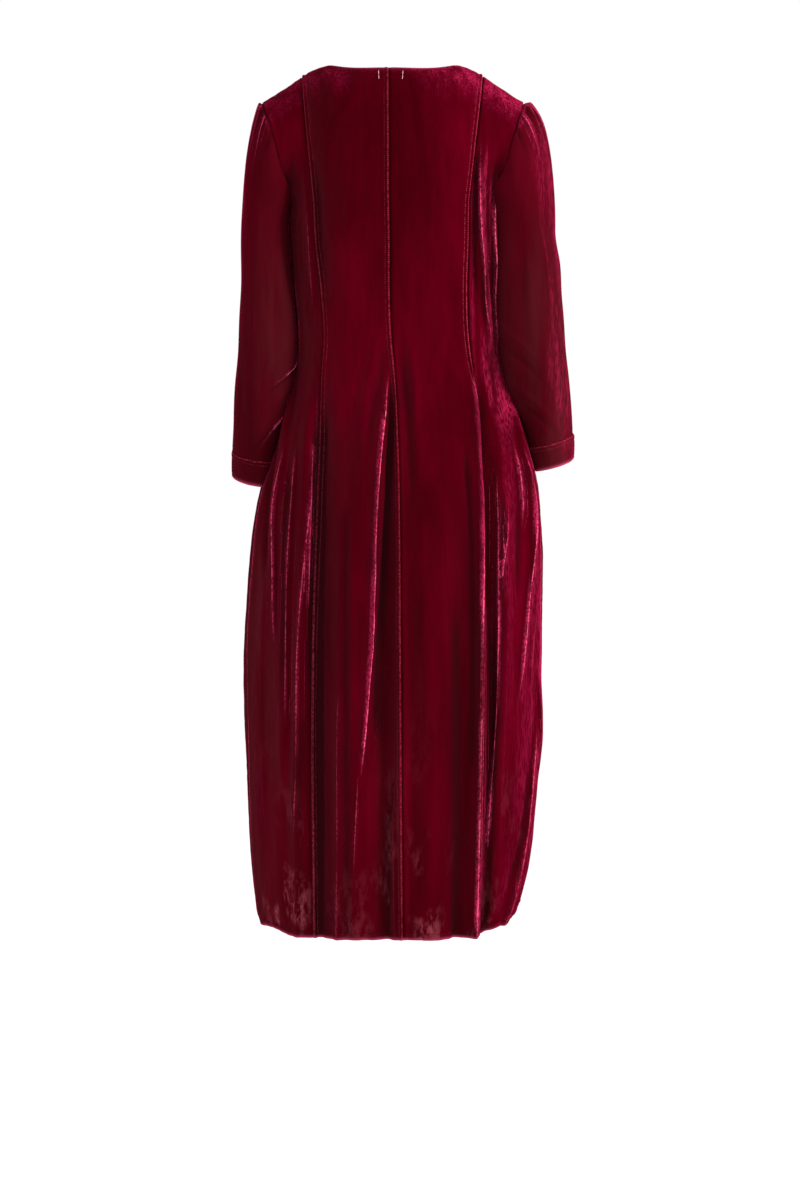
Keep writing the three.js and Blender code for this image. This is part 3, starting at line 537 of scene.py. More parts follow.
def armhole(side, degrees):
    """Points of the armhole's seam line: 90 is the shoulder point, 0 the back, -90 the underarm."""
    turn = np.radians(degrees)
    up = (1 + np.sin(turn)) / 2
    is_back = np.cos(turn) > 0
    climb = up ** np.where(is_back, ARMHOLE_CURVE["back"], ARMHOLE_CURVE["front"])
    reach = np.where(is_back, ARMHOLE_REACH["back"], ARMHOLE_REACH["front"])
    low = along(BODY, side, UNDERARM_Z)
    x = SLEEVES[side]["sign"] * mix(low, SHOULDER_X, climb)
    y = mix(ARMHOLE_Y, 0, up) + reach * np.cos(turn)
    return np.stack([x, y, mix(UNDERARM_Z, SHOULDER_Z, up)], -1)


def armhole_out(side, degrees):
    centre = np.array([0, ARMHOLE_Y, (SHOULDER_Z + UNDERARM_Z) / 2])
    return unit((armhole(side, degrees) - centre) * [0, 1, 1])


def ridge_z(x):
    """The height of the shoulder ridge, and of its arch over the neck."""
    out = np.abs(x)
    past = np.maximum(0, (out - NECK_HALF_WIDTH) / (SHOULDER_X - NECK_HALF_WIDTH))
    inside = np.maximum(0, 1 - (out / NECK_HALF_WIDTH) ** 2)
    return SHOULDER_Z * past**1.12 + NECK_RIDGE * inside**1.6


def upper_lines(start, top_x, face, share):
    """Lines from the underarm level over the blade or chest to the ridge or neckline."""

    def at(angle):
        lift = np.sin(angle)
        x = mix(start[..., 0], top_x, lift)
        y = start[..., 1] * np.maximum(0, np.cos(angle)) ** UPPER_POWER[face]
        return np.stack([x, y, mix(start[..., 2], ridge_z(top_x), lift)], -1)

    def in_neck(point):
        return (point[..., 0] / NECK_HALF_WIDTH) ** 2 + (point[..., 1] / NECK_DEPTH[face]) ** 2 < 1

    top = np.full(np.shape(top_x), math.pi / 2)
    cut = in_neck(at(top - 1e-4))
    low, high = np.zeros_like(top), top.copy()
    for _ in range(30):
        middle = (low + high) / 2
        inside = in_neck(at(middle))
        high = np.where(inside, middle, high)
        low = np.where(inside, low, middle)
    return at(np.where(cut, high, top) * share)


def close_ends(count, width, first=True):
    """Shares from 0 to 1 with close columns at the sewn edges; width is a usual width in mm."""
    near = np.array([0, 0.5, 1.0, 1.6, 2.3, 3.1, 4.1, 5.4]) / width
    start = near if first else near[:1]
    end = 1 - near[::-1]
    middle = np.linspace(start[-1], end[0], count - len(start) - len(end) + 2)[1:-1]
    return np.concatenate([start, middle, end])


def row_marks(fine):
    """Shares for the rows above the underarm, from the top, and heights for those below."""
    upper = np.concatenate([[1, 0.994, 0.986, 0.976, 0.962], np.linspace(0.945, 0.012, fine)])
    lower = np.linspace(UNDERARM_Z, HEM_Z + 42, int(fine * 4.4))
    hem = np.linspace(HEM_Z + 42, HEM_Z + 13, 13)[1:]
    edge = HEM_Z + np.array([12, 11, 10, 9.2, 8.4, 7.4, 6, 4.5, 3, 1.8, 0.8, 0])
    return upper, np.concatenate([lower, hem, edge])


def quarter(side, face, inner, outer, rows):
    """A quarter of the body as two grids: rows from the top, columns from the centre outwards."""
    sign = SLEEVES[side]["sign"]
    is_back = face == "back"
    upper, lower = rows

    def centre_x(z):
        return along(SEAMS, "centre", z) if is_back else 0 * z

    def seam_x(z):
        return sign * (along(SEAMS, side, z) if is_back else FRONT_GUIDE_X + 0 * z)

    def turns(z):
        start, seam = turn_at(centre_x(z), z, face), turn_at(seam_x(z), z, face)
        near = mix(start[:, None], seam[:, None], inner)
        return near, mix(seam[:, None], sign * math.pi / 2, outer)

    top = np.array(float(SEAM_TOP_Z))
    top_seam = sign * float(along(SEAMS, side, top))
    neck = NECK_SHARE[face]
    part = np.clip(inner / neck, 0, 1)
    part = part + NECK_SPREAD[face] * part * (1 - part)
    neck_turn = math.asin(sign * float(centre_x(top)) / NECK_HALF_WIDTH)
    top_x = sign * NECK_HALF_WIDTH * np.sin(mix(neck_turn, math.pi / 2, part))
    past = np.clip((inner - neck) / (1 - neck), 0, 1)
    top_x = np.where(inner > neck, mix(sign * NECK_HALF_WIDTH, top_seam, past), top_x)

    near, far = turns(np.full(1, float(UNDERARM_Z)))
    starts, near_out = section(near[0], float(UNDERARM_Z), face)
    share = upper[:, None]
    above_near = upper_lines(starts[None], top_x[None], face, share)
    rise = fold_rise(near, above_near[..., 2], face) * (1 - share**3)
    above_near = above_near + near_out * rise[..., None]

    starts, far_out = section(far[0], float(UNDERARM_Z), face)
    bulge = starts - mix(starts[0], starts[-1], outer[:, None])
    seam_line = upper_lines(starts[0][None], np.array([top_seam]), face, upper)[:, None]
    arm_line = armhole(side, mix(-90 if is_back else 270, 90, upper))[:, None]
    above_far = mix(seam_line, arm_line, outer[None, :, None])
    above_far = above_far + bulge * ((1 - share) ** 2)[..., None]
    rise = fold_rise(far, above_far[..., 2], face) * (1 - share**3) * (1 - outer**6)
    above_far = above_far + far_out * rise[..., None]

    z = lower[:, None]
    below = [body_points(turn, z + hem_lift(turn, z, face), face) for turn in turns(lower)]
    return np.concatenate([above_near, below[0]]), np.concatenate([above_far, below[1]])


def lengths(p, axis):
    """Distances along the grid from its first row or column."""
    step = np.linalg.norm(np.diff(p, axis=axis), axis=-1)
    total = np.cumsum(step, axis=axis)
    start = np.zeros_like(np.take(total, [0], axis=axis))
    return np.concatenate([start, total], axis=axis)


def from_ends(p, axis):
    """Distances along the grid from its first and from its last row or column."""
    run = lengths(p, axis)
    return run, np.take(run, [-1], axis=axis) - run


def grid_normals(p, is_ring=False):
    if is_ring:
        du = np.roll(p, -1, axis=1) - np.roll(p, 1, axis=1)
    else:
        du = np.gradient(p, axis=1)
    return unit(np.cross(du, np.gradient(p, axis=0)))


def waves(a, b, seed, size, count=9):
    """Uneven soft ripples of about one unit in height; size is their usual length in mm."""
    rng = np.random.default_rng(seed)
    total = 0
    for _ in range(count):
        way = rng.uniform(0, 2 * math.pi)
        pace = 2 * math.pi / (size * rng.uniform(0.6, 1.7))
        turned = a * math.cos(way) + b * math.sin(way)
        total = total + np.sin(turned * pace + rng.uniform(0, 2 * math.pi))
    return total / math.sqrt(count)


class Creases:
    """Fine creases over a grid: their rise, the nearest crest's distance and strength, and troughs."""

    LOOKS = ("line", "show", "trough")

    def __init__(self, shape):
        self.rise = np.zeros(shape)
        self.line = np.full(shape, float(FAR))
        self.show = np.zeros(shape)
        self.trough = np.zeros(shape)
        self.pull = np.full(shape, 1e-4)

    def add(self, away, wide_l, wide_r, high, shown):
        """Adds one crease; away is each point's distance from its line, with a sign."""
        form = shown * bell(away / np.where(away > 0, wide_l, wide_r))
        self.rise = self.rise + high * form
        # A sinking crease adds painted shade in its trough; a rising one may give a painted bright line at
        # its crest
        if high < 0:
            self.trough = self.trough + np.minimum(1, -high / DEEP_CREASE) * form
            return
        strength = min(1, max(0, high - BRIGHT_CREASE) / BRIGHT_CREASE) * shown**2
        pull = strength * bell(away / CREST_REACH)
        nearer = pull > self.pull
        self.pull = np.where(nearer, pull, self.pull)
        self.line = np.where(nearer, away, self.line)
        self.show = np.where(nearer, strength, self.show)


def body_creases(p, normals, face):
    found = Creases(p.shape[:2])
    x, y, z = np.moveaxis(p, -1, 0)
    facing = np.abs(normals[..., 1]) / np.maximum(np.hypot(normals[..., 0], normals[..., 1]), 0.2)
    for high, wide_l, wide_r, line in CREASES[face]:
        path = table("x z", *line)
        top, foot = path["z"][0], path["z"][-1]
        shown = shown_between(z, top, foot, min(CREASE_FADE, (top - foot) * 0.4))
        away = (x - along(path, "x", z)) / np.maximum(facing, 0.45)
        found.add(away, wide_l, wide_r, high, shown)
    sideways = smooth((np.abs(normals[..., 0]) - 0.7) / 0.2)
    for side, creases in SIDE_CREASES.items():
        own = sideways * (SLEEVES[side]["sign"] * x > 0)
        for high, wide, line in creases:
            path = table("y z", *line)
            shown = own * shown_between(z, path["z"][0], path["z"][-1], CREASE_FADE)
            found.add(y - along(path, "y", z), wide, wide, high, shown)
    return found


def seam_profile(away, run, seed, kind):
    """A sewn edge: it rolls in at the seam, with a ridge of turned cloth and small puckers."""
    ridge, groove = SEAM_SHAPES[kind]
    roll = -EDGE_ROLL * bell(away / ROLL_REACH)
    raised = ridge * bell((away - RIDGE_AT) / RIDGE_REACH)
    dip = -groove * bell((away - GROOVE_AT) / GROOVE_REACH)
    pucker = 0.34 * waves(run, 0 * run, seed, 9, 5) * np.exp(-away / 5) * smooth(away / 1.5)
    return roll + raised + dip + pucker


def hem_profile(up, across, seed):
    """The turned hem: a stitched line, a fuller band under it, and puckers that run up from it."""
    line = -0.8 * bell((up - HEM_BAND) / 0.9)
    band = 0.7 * smooth(up / 1.5) * (1 - smooth((up - 6.5) / 2.5))
    tuck = waves(across, 0.25 * up, seed, 13, 6) * bell((up - HEM_BAND) / 16)
    fine = waves(across, 0.4 * up, seed + 1, 7, 5) * bell((up - HEM_BAND) / 7)
    long = waves(across, 0.1 * up, seed + 2, 24, 5) * bell((up - 24) / 38)
    return line + band + 0.6 * tuck + 0.4 * fine + 1.1 * long


def nap_relief(x, z, seed):
    """Low, uneven swells of hanging velvet, longer down the cloth than across it."""
    return 0.45 * waves(x, 0.22 * z, seed, 34, 9) + 0.16 * waves(x, 0.3 * z, seed + 5, 13, 9)


def crush_and_sheen(x, face):
    """How much the cloth is crushed above the hem."""
    total = 0.12
    for at, wide, much in CRUSHED[face]:
        total = total + much * bell((x - at) / wide)
    return np.minimum(1, total)


def painted_sheen_and_haze(outer, normals, nap, looks):
    """How much painted sheen and how much painted dull haze the pile gets at each point."""
    x, y, z = np.moveaxis(outer, -1, 0)
    nx, _, nz = np.moveaxis(normals, -1, 0)
    turned = -nx - 0.4 + 0.28 * bell((z - PATCH_Z) / PATCH_REACH) * smooth(y / 30)
    right_on = nap[0] * mix(0.4, 1, smooth((y + 70) / 90)) * smooth(turned / 0.45)
    right_on = right_on * smooth((SHEEN_X - x) / 40)
    left_on = nap[1] * smooth((nx - 0.55) / 0.4)
    right_half = smooth((40 - x) / 120)
    up = mix(0.35, 1, right_half) * smooth((nz - 0.3) / 0.4)
    if "line" in looks:
        crest = looks["show"] * bell(looks["line"] / CREST_REACH)
        right_on = right_on * mix(1, 0.35 + 0.9 * crest, smooth((SKIRT_NAP_Z - z) / 60))
    # Painted haze of dull, brownish reflected light: on the body where the cloth turns left, away from the
    # key light, and on the sleeves more towards the cuff
    if nap is BODY_NAP:
        dull = smooth((nx - 0.12) / 0.85) * (1 - 0.5 * right_half)
    else:
        dull = mix(0.2, 0.75, smooth((-170 - z) / 200))
    return {"painted_sheen": np.clip(right_on + left_on + up, 0, 1), "dull": dull}


def add_object(name, data):
    made = bpy.data.objects.new(name, data)
    bpy.context.collection.objects.link(made)
    return made


def shell_faces(height, width, is_ring):
    """The outer faces of a closed shell of two grids, the inner ones, and those round its edges."""
    deep = height * width
    spans = width if is_ring else width - 1
    r, c = np.meshgrid(np.arange(height - 1), np.arange(spans), indexing="ij")
    a = (r * width + c).ravel()
    b = (r * width + (c + 1) % width).ravel()
    first, second, foot = c[0], (c[0] + 1) % width, (height - 1) * width
    faces = [
        (a, b, b + width, a + width),
        (a + deep, a + width + deep, b + width + deep, b + deep),
        (first, first + deep, second + deep, second),
        (first + foot, second + foot, second + deep + foot, first + deep + foot),
    ]
    if not is_ring:
        start = r[:, 0] * width
        end = start + width - 1
        faces.append((start, start + width, start + width + deep, start + deep))
        faces.append((end, end + deep, end + width + deep, end + width))
    return [np.stack(corners, 1) for corners in faces]


def add_shell(name, outer, looks, is_ring=False, out_first=None, thickness=CLOTH, nap=BODY_NAP):
    """A closed shell with its outer side on the grid. looks holds per-point numbers for the velvet."""
    normals = grid_normals(outer, is_ring)
    if out_first is not None:
        normals[0] = out_first
    grids = np.stack([outer, outer - normals * thickness])
    faces = shell_faces(*outer.shape[:2], is_ring)
    kinds = np.repeat([0, 1, 0], [len(faces[0]), len(faces[1]), sum(map(len, faces[2:]))])
    faces = np.concatenate(faces)
    mesh = bpy.data.meshes.new(name)
    mesh.vertices.add(grids.size // 3)
    mesh.vertices.foreach_set("co", (grids * MM).ravel())
    mesh.loops.add(faces.size)
    mesh.loops.foreach_set("vertex_index", faces.ravel())
    mesh.polygons.add(len(faces))
    mesh.polygons.foreach_set("loop_start", np.arange(len(faces)) * 4)
    mesh.polygons.foreach_set("material_index", kinds)
    mesh.update(calc_edges=True)
    mesh.shade_smooth()
    mesh.set_sharp_from_angle(angle=math.radians(58))
    for key, values in (looks | painted_sheen_and_haze(outer, normals, nap, looks)).items():
        layer = mesh.attributes.new(key, "FLOAT", "POINT")
        layer.data.foreach_set("value", np.tile(values.ravel(), 2))
    mesh.materials.append(velvet)
    mesh.materials.append(backing)
    return add_object(name, mesh)


def sewn_panel(name, p, face, ends, seed, bold=0.7):
    """A body panel: fine folds, its sewn edges and its hem, over the grid p.

    ends names the kinds of its first and last sewn edge.
    """
    normals = grid_normals(p)
    crease = body_creases(p, normals, face)
    x, _, z = np.moveaxis(p, -1, 0)
    near_first, near_last = from_ends(p, 1)
    from_top, from_hem = from_ends(p, 0)
    near_seam = np.minimum(near_first, near_last)
    calm = smooth(np.minimum(near_seam, from_top) / 7)
    detail = (CREASE_GAIN * crease.rise + nap_relief(x * 1.2, z, seed)) * calm
    detail = detail + seam_profile(near_first, from_top[:, :1], seed + 10, ends[0])
    detail = detail + seam_profile(near_last, from_top[:, -1:], seed + 11, ends[1])
    detail = detail + hem_profile(from_hem, near_first, seed + 20) * smooth(near_seam / 4)
    detail = detail - 0.9 * bell(from_top / 1.2) - 0.9 * bell(from_hem / 1.0)
    shaped = p + normals * detail[..., None]
    shaped[:, 0] -= unit(p[:, 1] - p[:, 0]) * SEAM_LAP
    shaped[:, -1] -= unit(p[:, -2] - p[:, -1]) * SEAM_LAP
    swell = sum(high * bell((np.abs(x) - at) / wide) for high, at, wide in SHOULDER_SWELLS)
    shaped[..., 2] += swell * bell(from_top / 45)
    lift = sum(high * smooth((sign * x - start) / 45) for sign, start, high in HEM_CORNERS)
    shaped[..., 2] += lift * bell(from_hem / 110)
    on_shoulder = (np.abs(x[0]) > NECK_HALF_WIDTH + 1)[:, None]
    shaped[0] -= unit(p[1] - p[0]) * SEAM_LAP * on_shoulder
    # Painted shade beside the sleeves and in the hollows of the large folds, carried with the troughs
    beside_sleeve = smooth((np.abs(x) - 118) / 30) * smooth((-130 - z) / 50) * smooth((z + 500) / 90)
    turn = turn_at(x, np.minimum(z, UNDERARM_Z), face)
    hollow = np.clip(-fold_rise(turn, z, face, True) / 8, 0, 1) * mix(0.4, 1, smooth((x + 20) / 60))
    inside = smooth(np.minimum(near_seam, np.minimum(from_top, from_hem)) / 6)
    looks = {
        "bold": np.full(x.shape, bold),
        "line": crease.line,
        "show": crease.show * inside * mix(1, 0.5, smooth((x - 104) / 22)),
        "trough": np.maximum(crease.trough + hollow, 1.3 * beside_sleeve),
        "edge": np.maximum(np.exp(-from_top / 1.6), bell(from_hem / 3)),
        "low": np.exp(-from_hem / 70) * crush_and_sheen(x, face),
    }
    for mark in ("over", "under"):
        away = [near for near, kind in zip((near_first, near_last), ends) if mark in kind]
        looks[mark] = np.min(away, axis=0) if away else np.full(x.shape, FAR)
    return add_shell(f"{name}_cloth", shaped, looks), shaped


def drag_creases(side, degrees, z):
    """The folds of a lower sleeve, each along a straight line on the unrolled cloth."""
    found = Creases(np.broadcast(degrees, z).shape)
    for high, wide, line in DRAGS[side]:
        path = table("turn z", *line)
        top, foot = path["z"][0], path["z"][-1]
        shown = bell((z - (top + foot) / 2) / (0.62 * (top - foot)))
        slope = (path["turn"][-1] - path["turn"][0]) / (foot - top)
        turn = path["turn"][1] + slope * (z - path["z"][1])
        away = ((degrees - turn + 540) % 360 - 180) * DEGREE_ARC
        found.add(away, wide * DEGREE_ARC, wide * DEGREE_ARC, high, shown)
    return found


def gather_creases(degrees, step):
    """The gathers of a sleeve head; step runs from 0 at the armhole to 1."""
    found = Creases(np.broadcast(degrees, step).shape)
    arc = mix(HEAD_ARC, DEGREE_ARC, step)
    for rows, gain in ((GATHERS, 1), (FINE_GATHERS, GATHER_GAIN)):
        for at, rise, reach, wide, drift in rows:
            width = wide * arc * (1 + 0.9 * step)
            shown = smooth(step / 0.1) * (1 - smooth(step / reach))
            found.add((degrees - at - drift * step) * arc, width, width, gain * rise, shown)
    return found


def ring_turns(side, count):
    """Degrees round a sleeve, in the order that turns its faces outwards."""
    return np.arange(-90, 270, 360 / count)[:: SLEEVES[side]["sign"]]


def ring_points(side, z, degrees, swell=0):
    sign, rings = SLEEVES[side]["sign"], SLEEVES[side]["rings"]
    turn = np.radians(degrees)
    x, y, wide, deep, lean_x, lean_y = (along(rings, key, z) for key in SLEEVE_COLUMNS.split()[1:])
    out = (wide + swell) * np.sin(turn)
    back = (deep + swell) * np.cos(turn)
    return np.stack([sign * (x + out), y + back, z + lean_x * out + lean_y * back], -1)


def clear_of_body(side, p):
    """Moves a sleeve's points out softly until they are just clear of the body."""
    sign = SLEEVES[side]["sign"]
    turns = sign * np.linspace(0.6, math.pi / 2, 30)
    reach = np.zeros(p.shape[:2])
    for face in ("back", "front"):
        points = body_points(turns[None, None, :], p[..., 2][..., None], face)
        near = np.abs(points[..., 1] - p[..., 1][..., None]) < 3
        reach = np.maximum(reach, np.where(near, sign * points[..., 0], 0).max(-1))
    clear = np.where(reach > 0, reach + RESTING_GAP, -1e3)
    x = sign * p[..., 0]
    pushed = (x + clear + np.sqrt((x - clear) ** 2 + 1)) / 2
    shown = smooth((UNDERARM_Z - 6 - p[..., 2]) / 24)
    moved = p.copy()
    moved[..., 0] = sign * mix(x, np.maximum(pushed, x), shown)
    return moved


def sleeve_grid(side, degrees):
    """A sleeve's rings down to the cuff seam, with its cap."""
    sign, rings = SLEEVES[side]["sign"], SLEEVES[side]["rings"]
    push_x, push_z = SLEEVES[side]["push"]
    step = np.concatenate([[0, 0.008, 0.018, 0.032], np.linspace(0.05, 0.985, 54)])[:, None]
    start = armhole(side, degrees)[None]
    end = ring_points(side, rings["z"][0], degrees)[None]
    turn = np.radians(degrees)
    height = np.maximum(0, np.sin(turn))
    span = np.linalg.norm(end - start, axis=-1)[0]
    leave_x = sign * mix(0.12 * span, push_x, height)
    leave_y = 0.45 * span * np.cos(turn) * (1 - height * height)
    leave = np.stack([leave_x, leave_y, mix(-0.9 * span, push_z, height)], -1)[None]
    arrive = np.stack([0 * span, 0 * span, -1.05 * span], -1)[None]
    s = step[..., None]
    cap = (2 * s**3 - 3 * s**2 + 1) * start + (s**3 - 2 * s**2 + s) * leave
    cap = cap + (3 * s**2 - 2 * s**3) * end + (s**3 - s**2) * arrive
    gathers = gather_creases(degrees[None], step)
    cap = cap + armhole_out(side, degrees)[None] * gathers.rise[..., None]
    cap[0, :, 0] += sign * SEAM_GAP
    seam_z = rings["z"][-2]
    z = np.linspace(rings["z"][0], seam_z + 6, 92)
    z = np.concatenate([z, seam_z + np.array([4, 2, 1, 0, -1.5, -3.5])])
    lower = ring_points(side, z[:, None], degrees[None])
    centre = np.stack([sign * along(rings, "x", z), along(rings, "y", z)], -1)[:, None]
    way = unit(np.concatenate([lower[..., :2] - centre, 0 * lower[..., :1]], -1))
    drags = drag_creases(side, degrees[None], z[:, None])
    lower = lower + way * drags.rise[..., None]
    grid = np.concatenate([cap, lower])
    looks = {key: np.concatenate([getattr(gathers, key), getattr(drags, key)]) for key in Creases.LOOKS}
    # The inner back of the sleeve laps a little over the side of the body
    lap = smooth((-120 - grid[..., 2]) / 60) * smooth((grid[..., 2] + 520) / 70)
    grid[..., 0] -= sign * (SIDE_LAP[side] * lap * bell((degrees[None] + 55) / 26))
    return np.concatenate([grid[:1], clear_of_body(side, grid)[1:]]), looks


def add_sleeve(side, seed):
    degrees = ring_turns(side, SLEEVE_TURNS)
    p, looks = sleeve_grid(side, degrees)
    normals = grid_normals(p, True)
    from_top, from_seam = from_ends(p, 0)
    around = np.radians(degrees)[None] * 46 + 0 * from_top
    detail = 0.4 * waves(around, 0.4 * p[..., 2], seed, 26, 9) * smooth(from_top / 12)
    under = np.minimum(1, np.abs(degrees[None] + 90) / 12)
    detail = detail * (1 - 0.6 * bell(under * 3))
    detail = detail + seam_profile(from_top, around, seed + 3, "armhole") * 0.8
    detail = detail + seam_profile(from_seam, around, seed + 4, "cuff under") * 0.9
    shaped = p + normals * detail[..., None]
    shadow = 1.5 * bell((degrees[None] + 80) / 34) * smooth(from_top / 30)
    edge = np.minimum(from_top, from_seam)
    none = 0 * edge
    looks |= {"trough": np.maximum(looks["trough"], shadow), "bold": none + 0.8}
    looks |= {"edge": none, "low": none, "over": none + FAR, "under": edge}
    out_first = armhole_out(side, degrees)
    return add_shell(f"sleeve_{side}_cloth", shaped, looks, True, out_first, nap=SLEEVE_NAP[side])


def add_cuff(side, seed):
    """A cuff, and the line of its stitches with the way out from each point."""
    rings = SLEEVES[side]["rings"]
    degrees = ring_turns(side, CUFF_TURNS)
    near_top, near_foot = [0, 0.02, 0.045, 0.08, 0.13], [0.87, 0.91, 0.945, 0.97, 0.985, 1]
    share = np.concatenate([near_top, np.linspace(0.18, 0.82, 12), near_foot])
    top, foot = (ring_points(side, rings["z"][i], degrees, CUFF_SWELL) for i in (-2, -1))
    p = clear_of_body(side, mix(top[None], foot[None], share[:, None, None]))
    p[0, :, 2] -= SEAM_GAP / 2
    normals = grid_normals(p, True)
    from_top, from_foot = from_ends(p, 0)
    around = np.radians(degrees)[None] * 36 + 0 * from_top
    detail = 0.4 * waves(around, 0.5 * from_top, seed, 24, 7)
    detail = detail + seam_profile(from_top, around, seed + 3, "cuff over")
    roll = -EDGE_ROLL * bell(from_foot / ROLL_REACH)
    line = -0.55 * bell((from_foot - CUFF_BAND) / 0.9)
    shaped = p + normals * (detail + roll + line)[..., None]
    none = 0 * from_top
    looks = {"bold": none + 0.3, "edge": bell(from_foot / 3), "over": from_top, "under": none + FAR}
    name = f"cuff_{side}_cloth"
    piece = add_shell(name, shaped, looks, True, thickness=CUFF_CLOTH, nap=SLEEVE_NAP[side])
    row = int(np.argmin(np.abs(from_foot[:, 0] - CUFF_BAND)))
    return piece, shaped[row], grid_normals(shaped, True)[row]


def add_stitches(name, kind, points, outs, material, closes=False):
    """A row of short stitches along a line of points, each with its way out."""
    pitch, length, radius, lift = STITCHES[kind]
    cuts, bulge = np.array([-1, -0.72, 0, 0.72, 1]), np.array([0.25, 0.85, 1, 0.85, 0.25])
    sides = 6
    points = points + outs * lift
    if closes:
        points, outs = (np.concatenate([grid, grid[:1]]) for grid in (points, outs))
    run = np.concatenate([[0], np.cumsum(np.linalg.norm(np.diff(points, axis=0), axis=1))])
    marks = np.arange(pitch, run[-1] - pitch * 0.6, pitch)

    def read(grid, at):
        return np.stack([np.interp(at, run, grid[:, i]) for i in range(3)], -1)[:, None, None]

    ways = unit(read(points, marks + 0.6) - read(points, marks - 0.6))
    ups = unit(read(outs, marks))
    angle = np.linspace(0, 2 * math.pi, sides, endpoint=False)[:, None]
    around = np.cross(ways, ups) * np.cos(angle) + ups * np.sin(angle)
    places = read(points, marks) + ways * (cuts * length / 2)[:, None, None]
    places = places + around * (bulge * radius)[:, None, None]

    size = len(cuts) * sides
    shape = []
    for k in range(0, size - sides, sides):
        for s in range(sides):
            a, b = k + s, k + (s + 1) % sides
            shape.append((a, b, b + sides, a + sides))
    shape += [tuple(range(sides))[::-1], tuple(range(size - sides, size))]
    firsts = range(0, len(marks) * size, size)
    faces = [tuple(first + i for i in face) for first in firsts for face in shape]
    mesh = bpy.data.meshes.new(name)
    mesh.from_pydata((places.reshape(-1, 3) * MM).tolist(), [], faces)
    mesh.shade_smooth()
    mesh.materials.append(material)
    return add_object(name, mesh)


class Nodes:
    """A material's node tree. Its calls take sockets or plain values, and most give a socket."""

    def __init__(self, name):
        self.material = bpy.data.materials.new(name)
        self.material.use_nodes = True
        self.tree = self.material.node_tree
        self.tree.nodes.clear()
        self.shader = self.add("BsdfPrincipled")
        self.add("OutputMaterial", {"Surface": self.shader.outputs["BSDF"]})
        self.coords = self.add("TexCoord").outputs["Object"]

    def add(self, kind, inputs=None, **settings):
        node = self.tree.nodes.new("ShaderNode" + kind)
        for key, value in settings.items():
            setattr(node, key, value)
        self.feed(node, inputs or {})
        return node

    def feed(self, node, inputs):
        """Links each named input of the node to a socket, or sets it to a value."""
        for key, value in inputs.items():
            socket = node.inputs[key]
            if isinstance(value, bpy.types.NodeSocket):
                self.tree.links.new(value, socket)
            else:
                socket.default_value = (*value, 1) if socket.type == "RGBA" else value

    def noise(self, scale, down=1, detail=3, roughness=0.55):
        """Noise in the object's space, longer down the cloth where down is under 1."""
        place = self.add("Mapping", {"Scale": (1, 1, down), "Vector": self.coords}).outputs["Vector"]
        inputs = {"Scale": scale, "Detail": detail, "Roughness": roughness, "Vector": place}
        return self.add("TexNoise", inputs).outputs["Fac"]

    def bands(self, inputs):
        inputs = {**inputs, "Vector": self.coords}
        return self.add("TexWave", inputs, wave_type="BANDS", bands_direction="Z")

    def attribute(self, name):
        return self.add("Attribute", attribute_name=name).outputs["Fac"]

    def ramp(self, source, *stops):
        """Stops are places from 0 to 1, each with a grey or a colour."""
        node = self.add("ValToRGB", {"Fac": source})
        elements = node.color_ramp.elements
        while len(elements) < len(stops):
            elements.new(0.5)
        for element, (place, color) in zip(elements, stops):
            element.position = place
            element.color = (*color, 1) if isinstance(color, tuple) else (color, color, color, 1)
        return node.outputs["Color"]

    def spread(self, source, low=0, high=1, to_low=0, to_high=1):
        inputs = {"From Min": low, "From Max": high, "To Min": to_low, "To Max": to_high}
        return self.add("MapRange", {**inputs, "Value": source}).outputs["Result"]

    def tint(self, color, other, factor, mode="MIX"):
        inputs = {0: factor, 6: color, 7: other}
        return self.add("Mix", inputs, data_type="RGBA", blend_type=mode).outputs[2]

    def math(self, operation, a, b, **settings):
        return self.add("Math", {0: a, 1: b}, operation=operation, **settings).outputs["Value"]

    def times(self, first, *others):
        for other in others:
            first = self.math("MULTIPLY", first, other)
        return first

    def bump(self, *reliefs):
        """Bumps one on another, each from a height, its strength and its depth in metres."""
        normal = {}
        for height, strength, depth in reliefs:
            node = self.add("Bump", {"Strength": strength, "Distance": depth, "Height": height, **normal})
            normal = {"Normal": node.outputs["Normal"]}
        return normal

    def finish(self, inputs):
        """Feeds the shader and gives the material."""
        self.feed(self.shader, inputs)
        return self.material


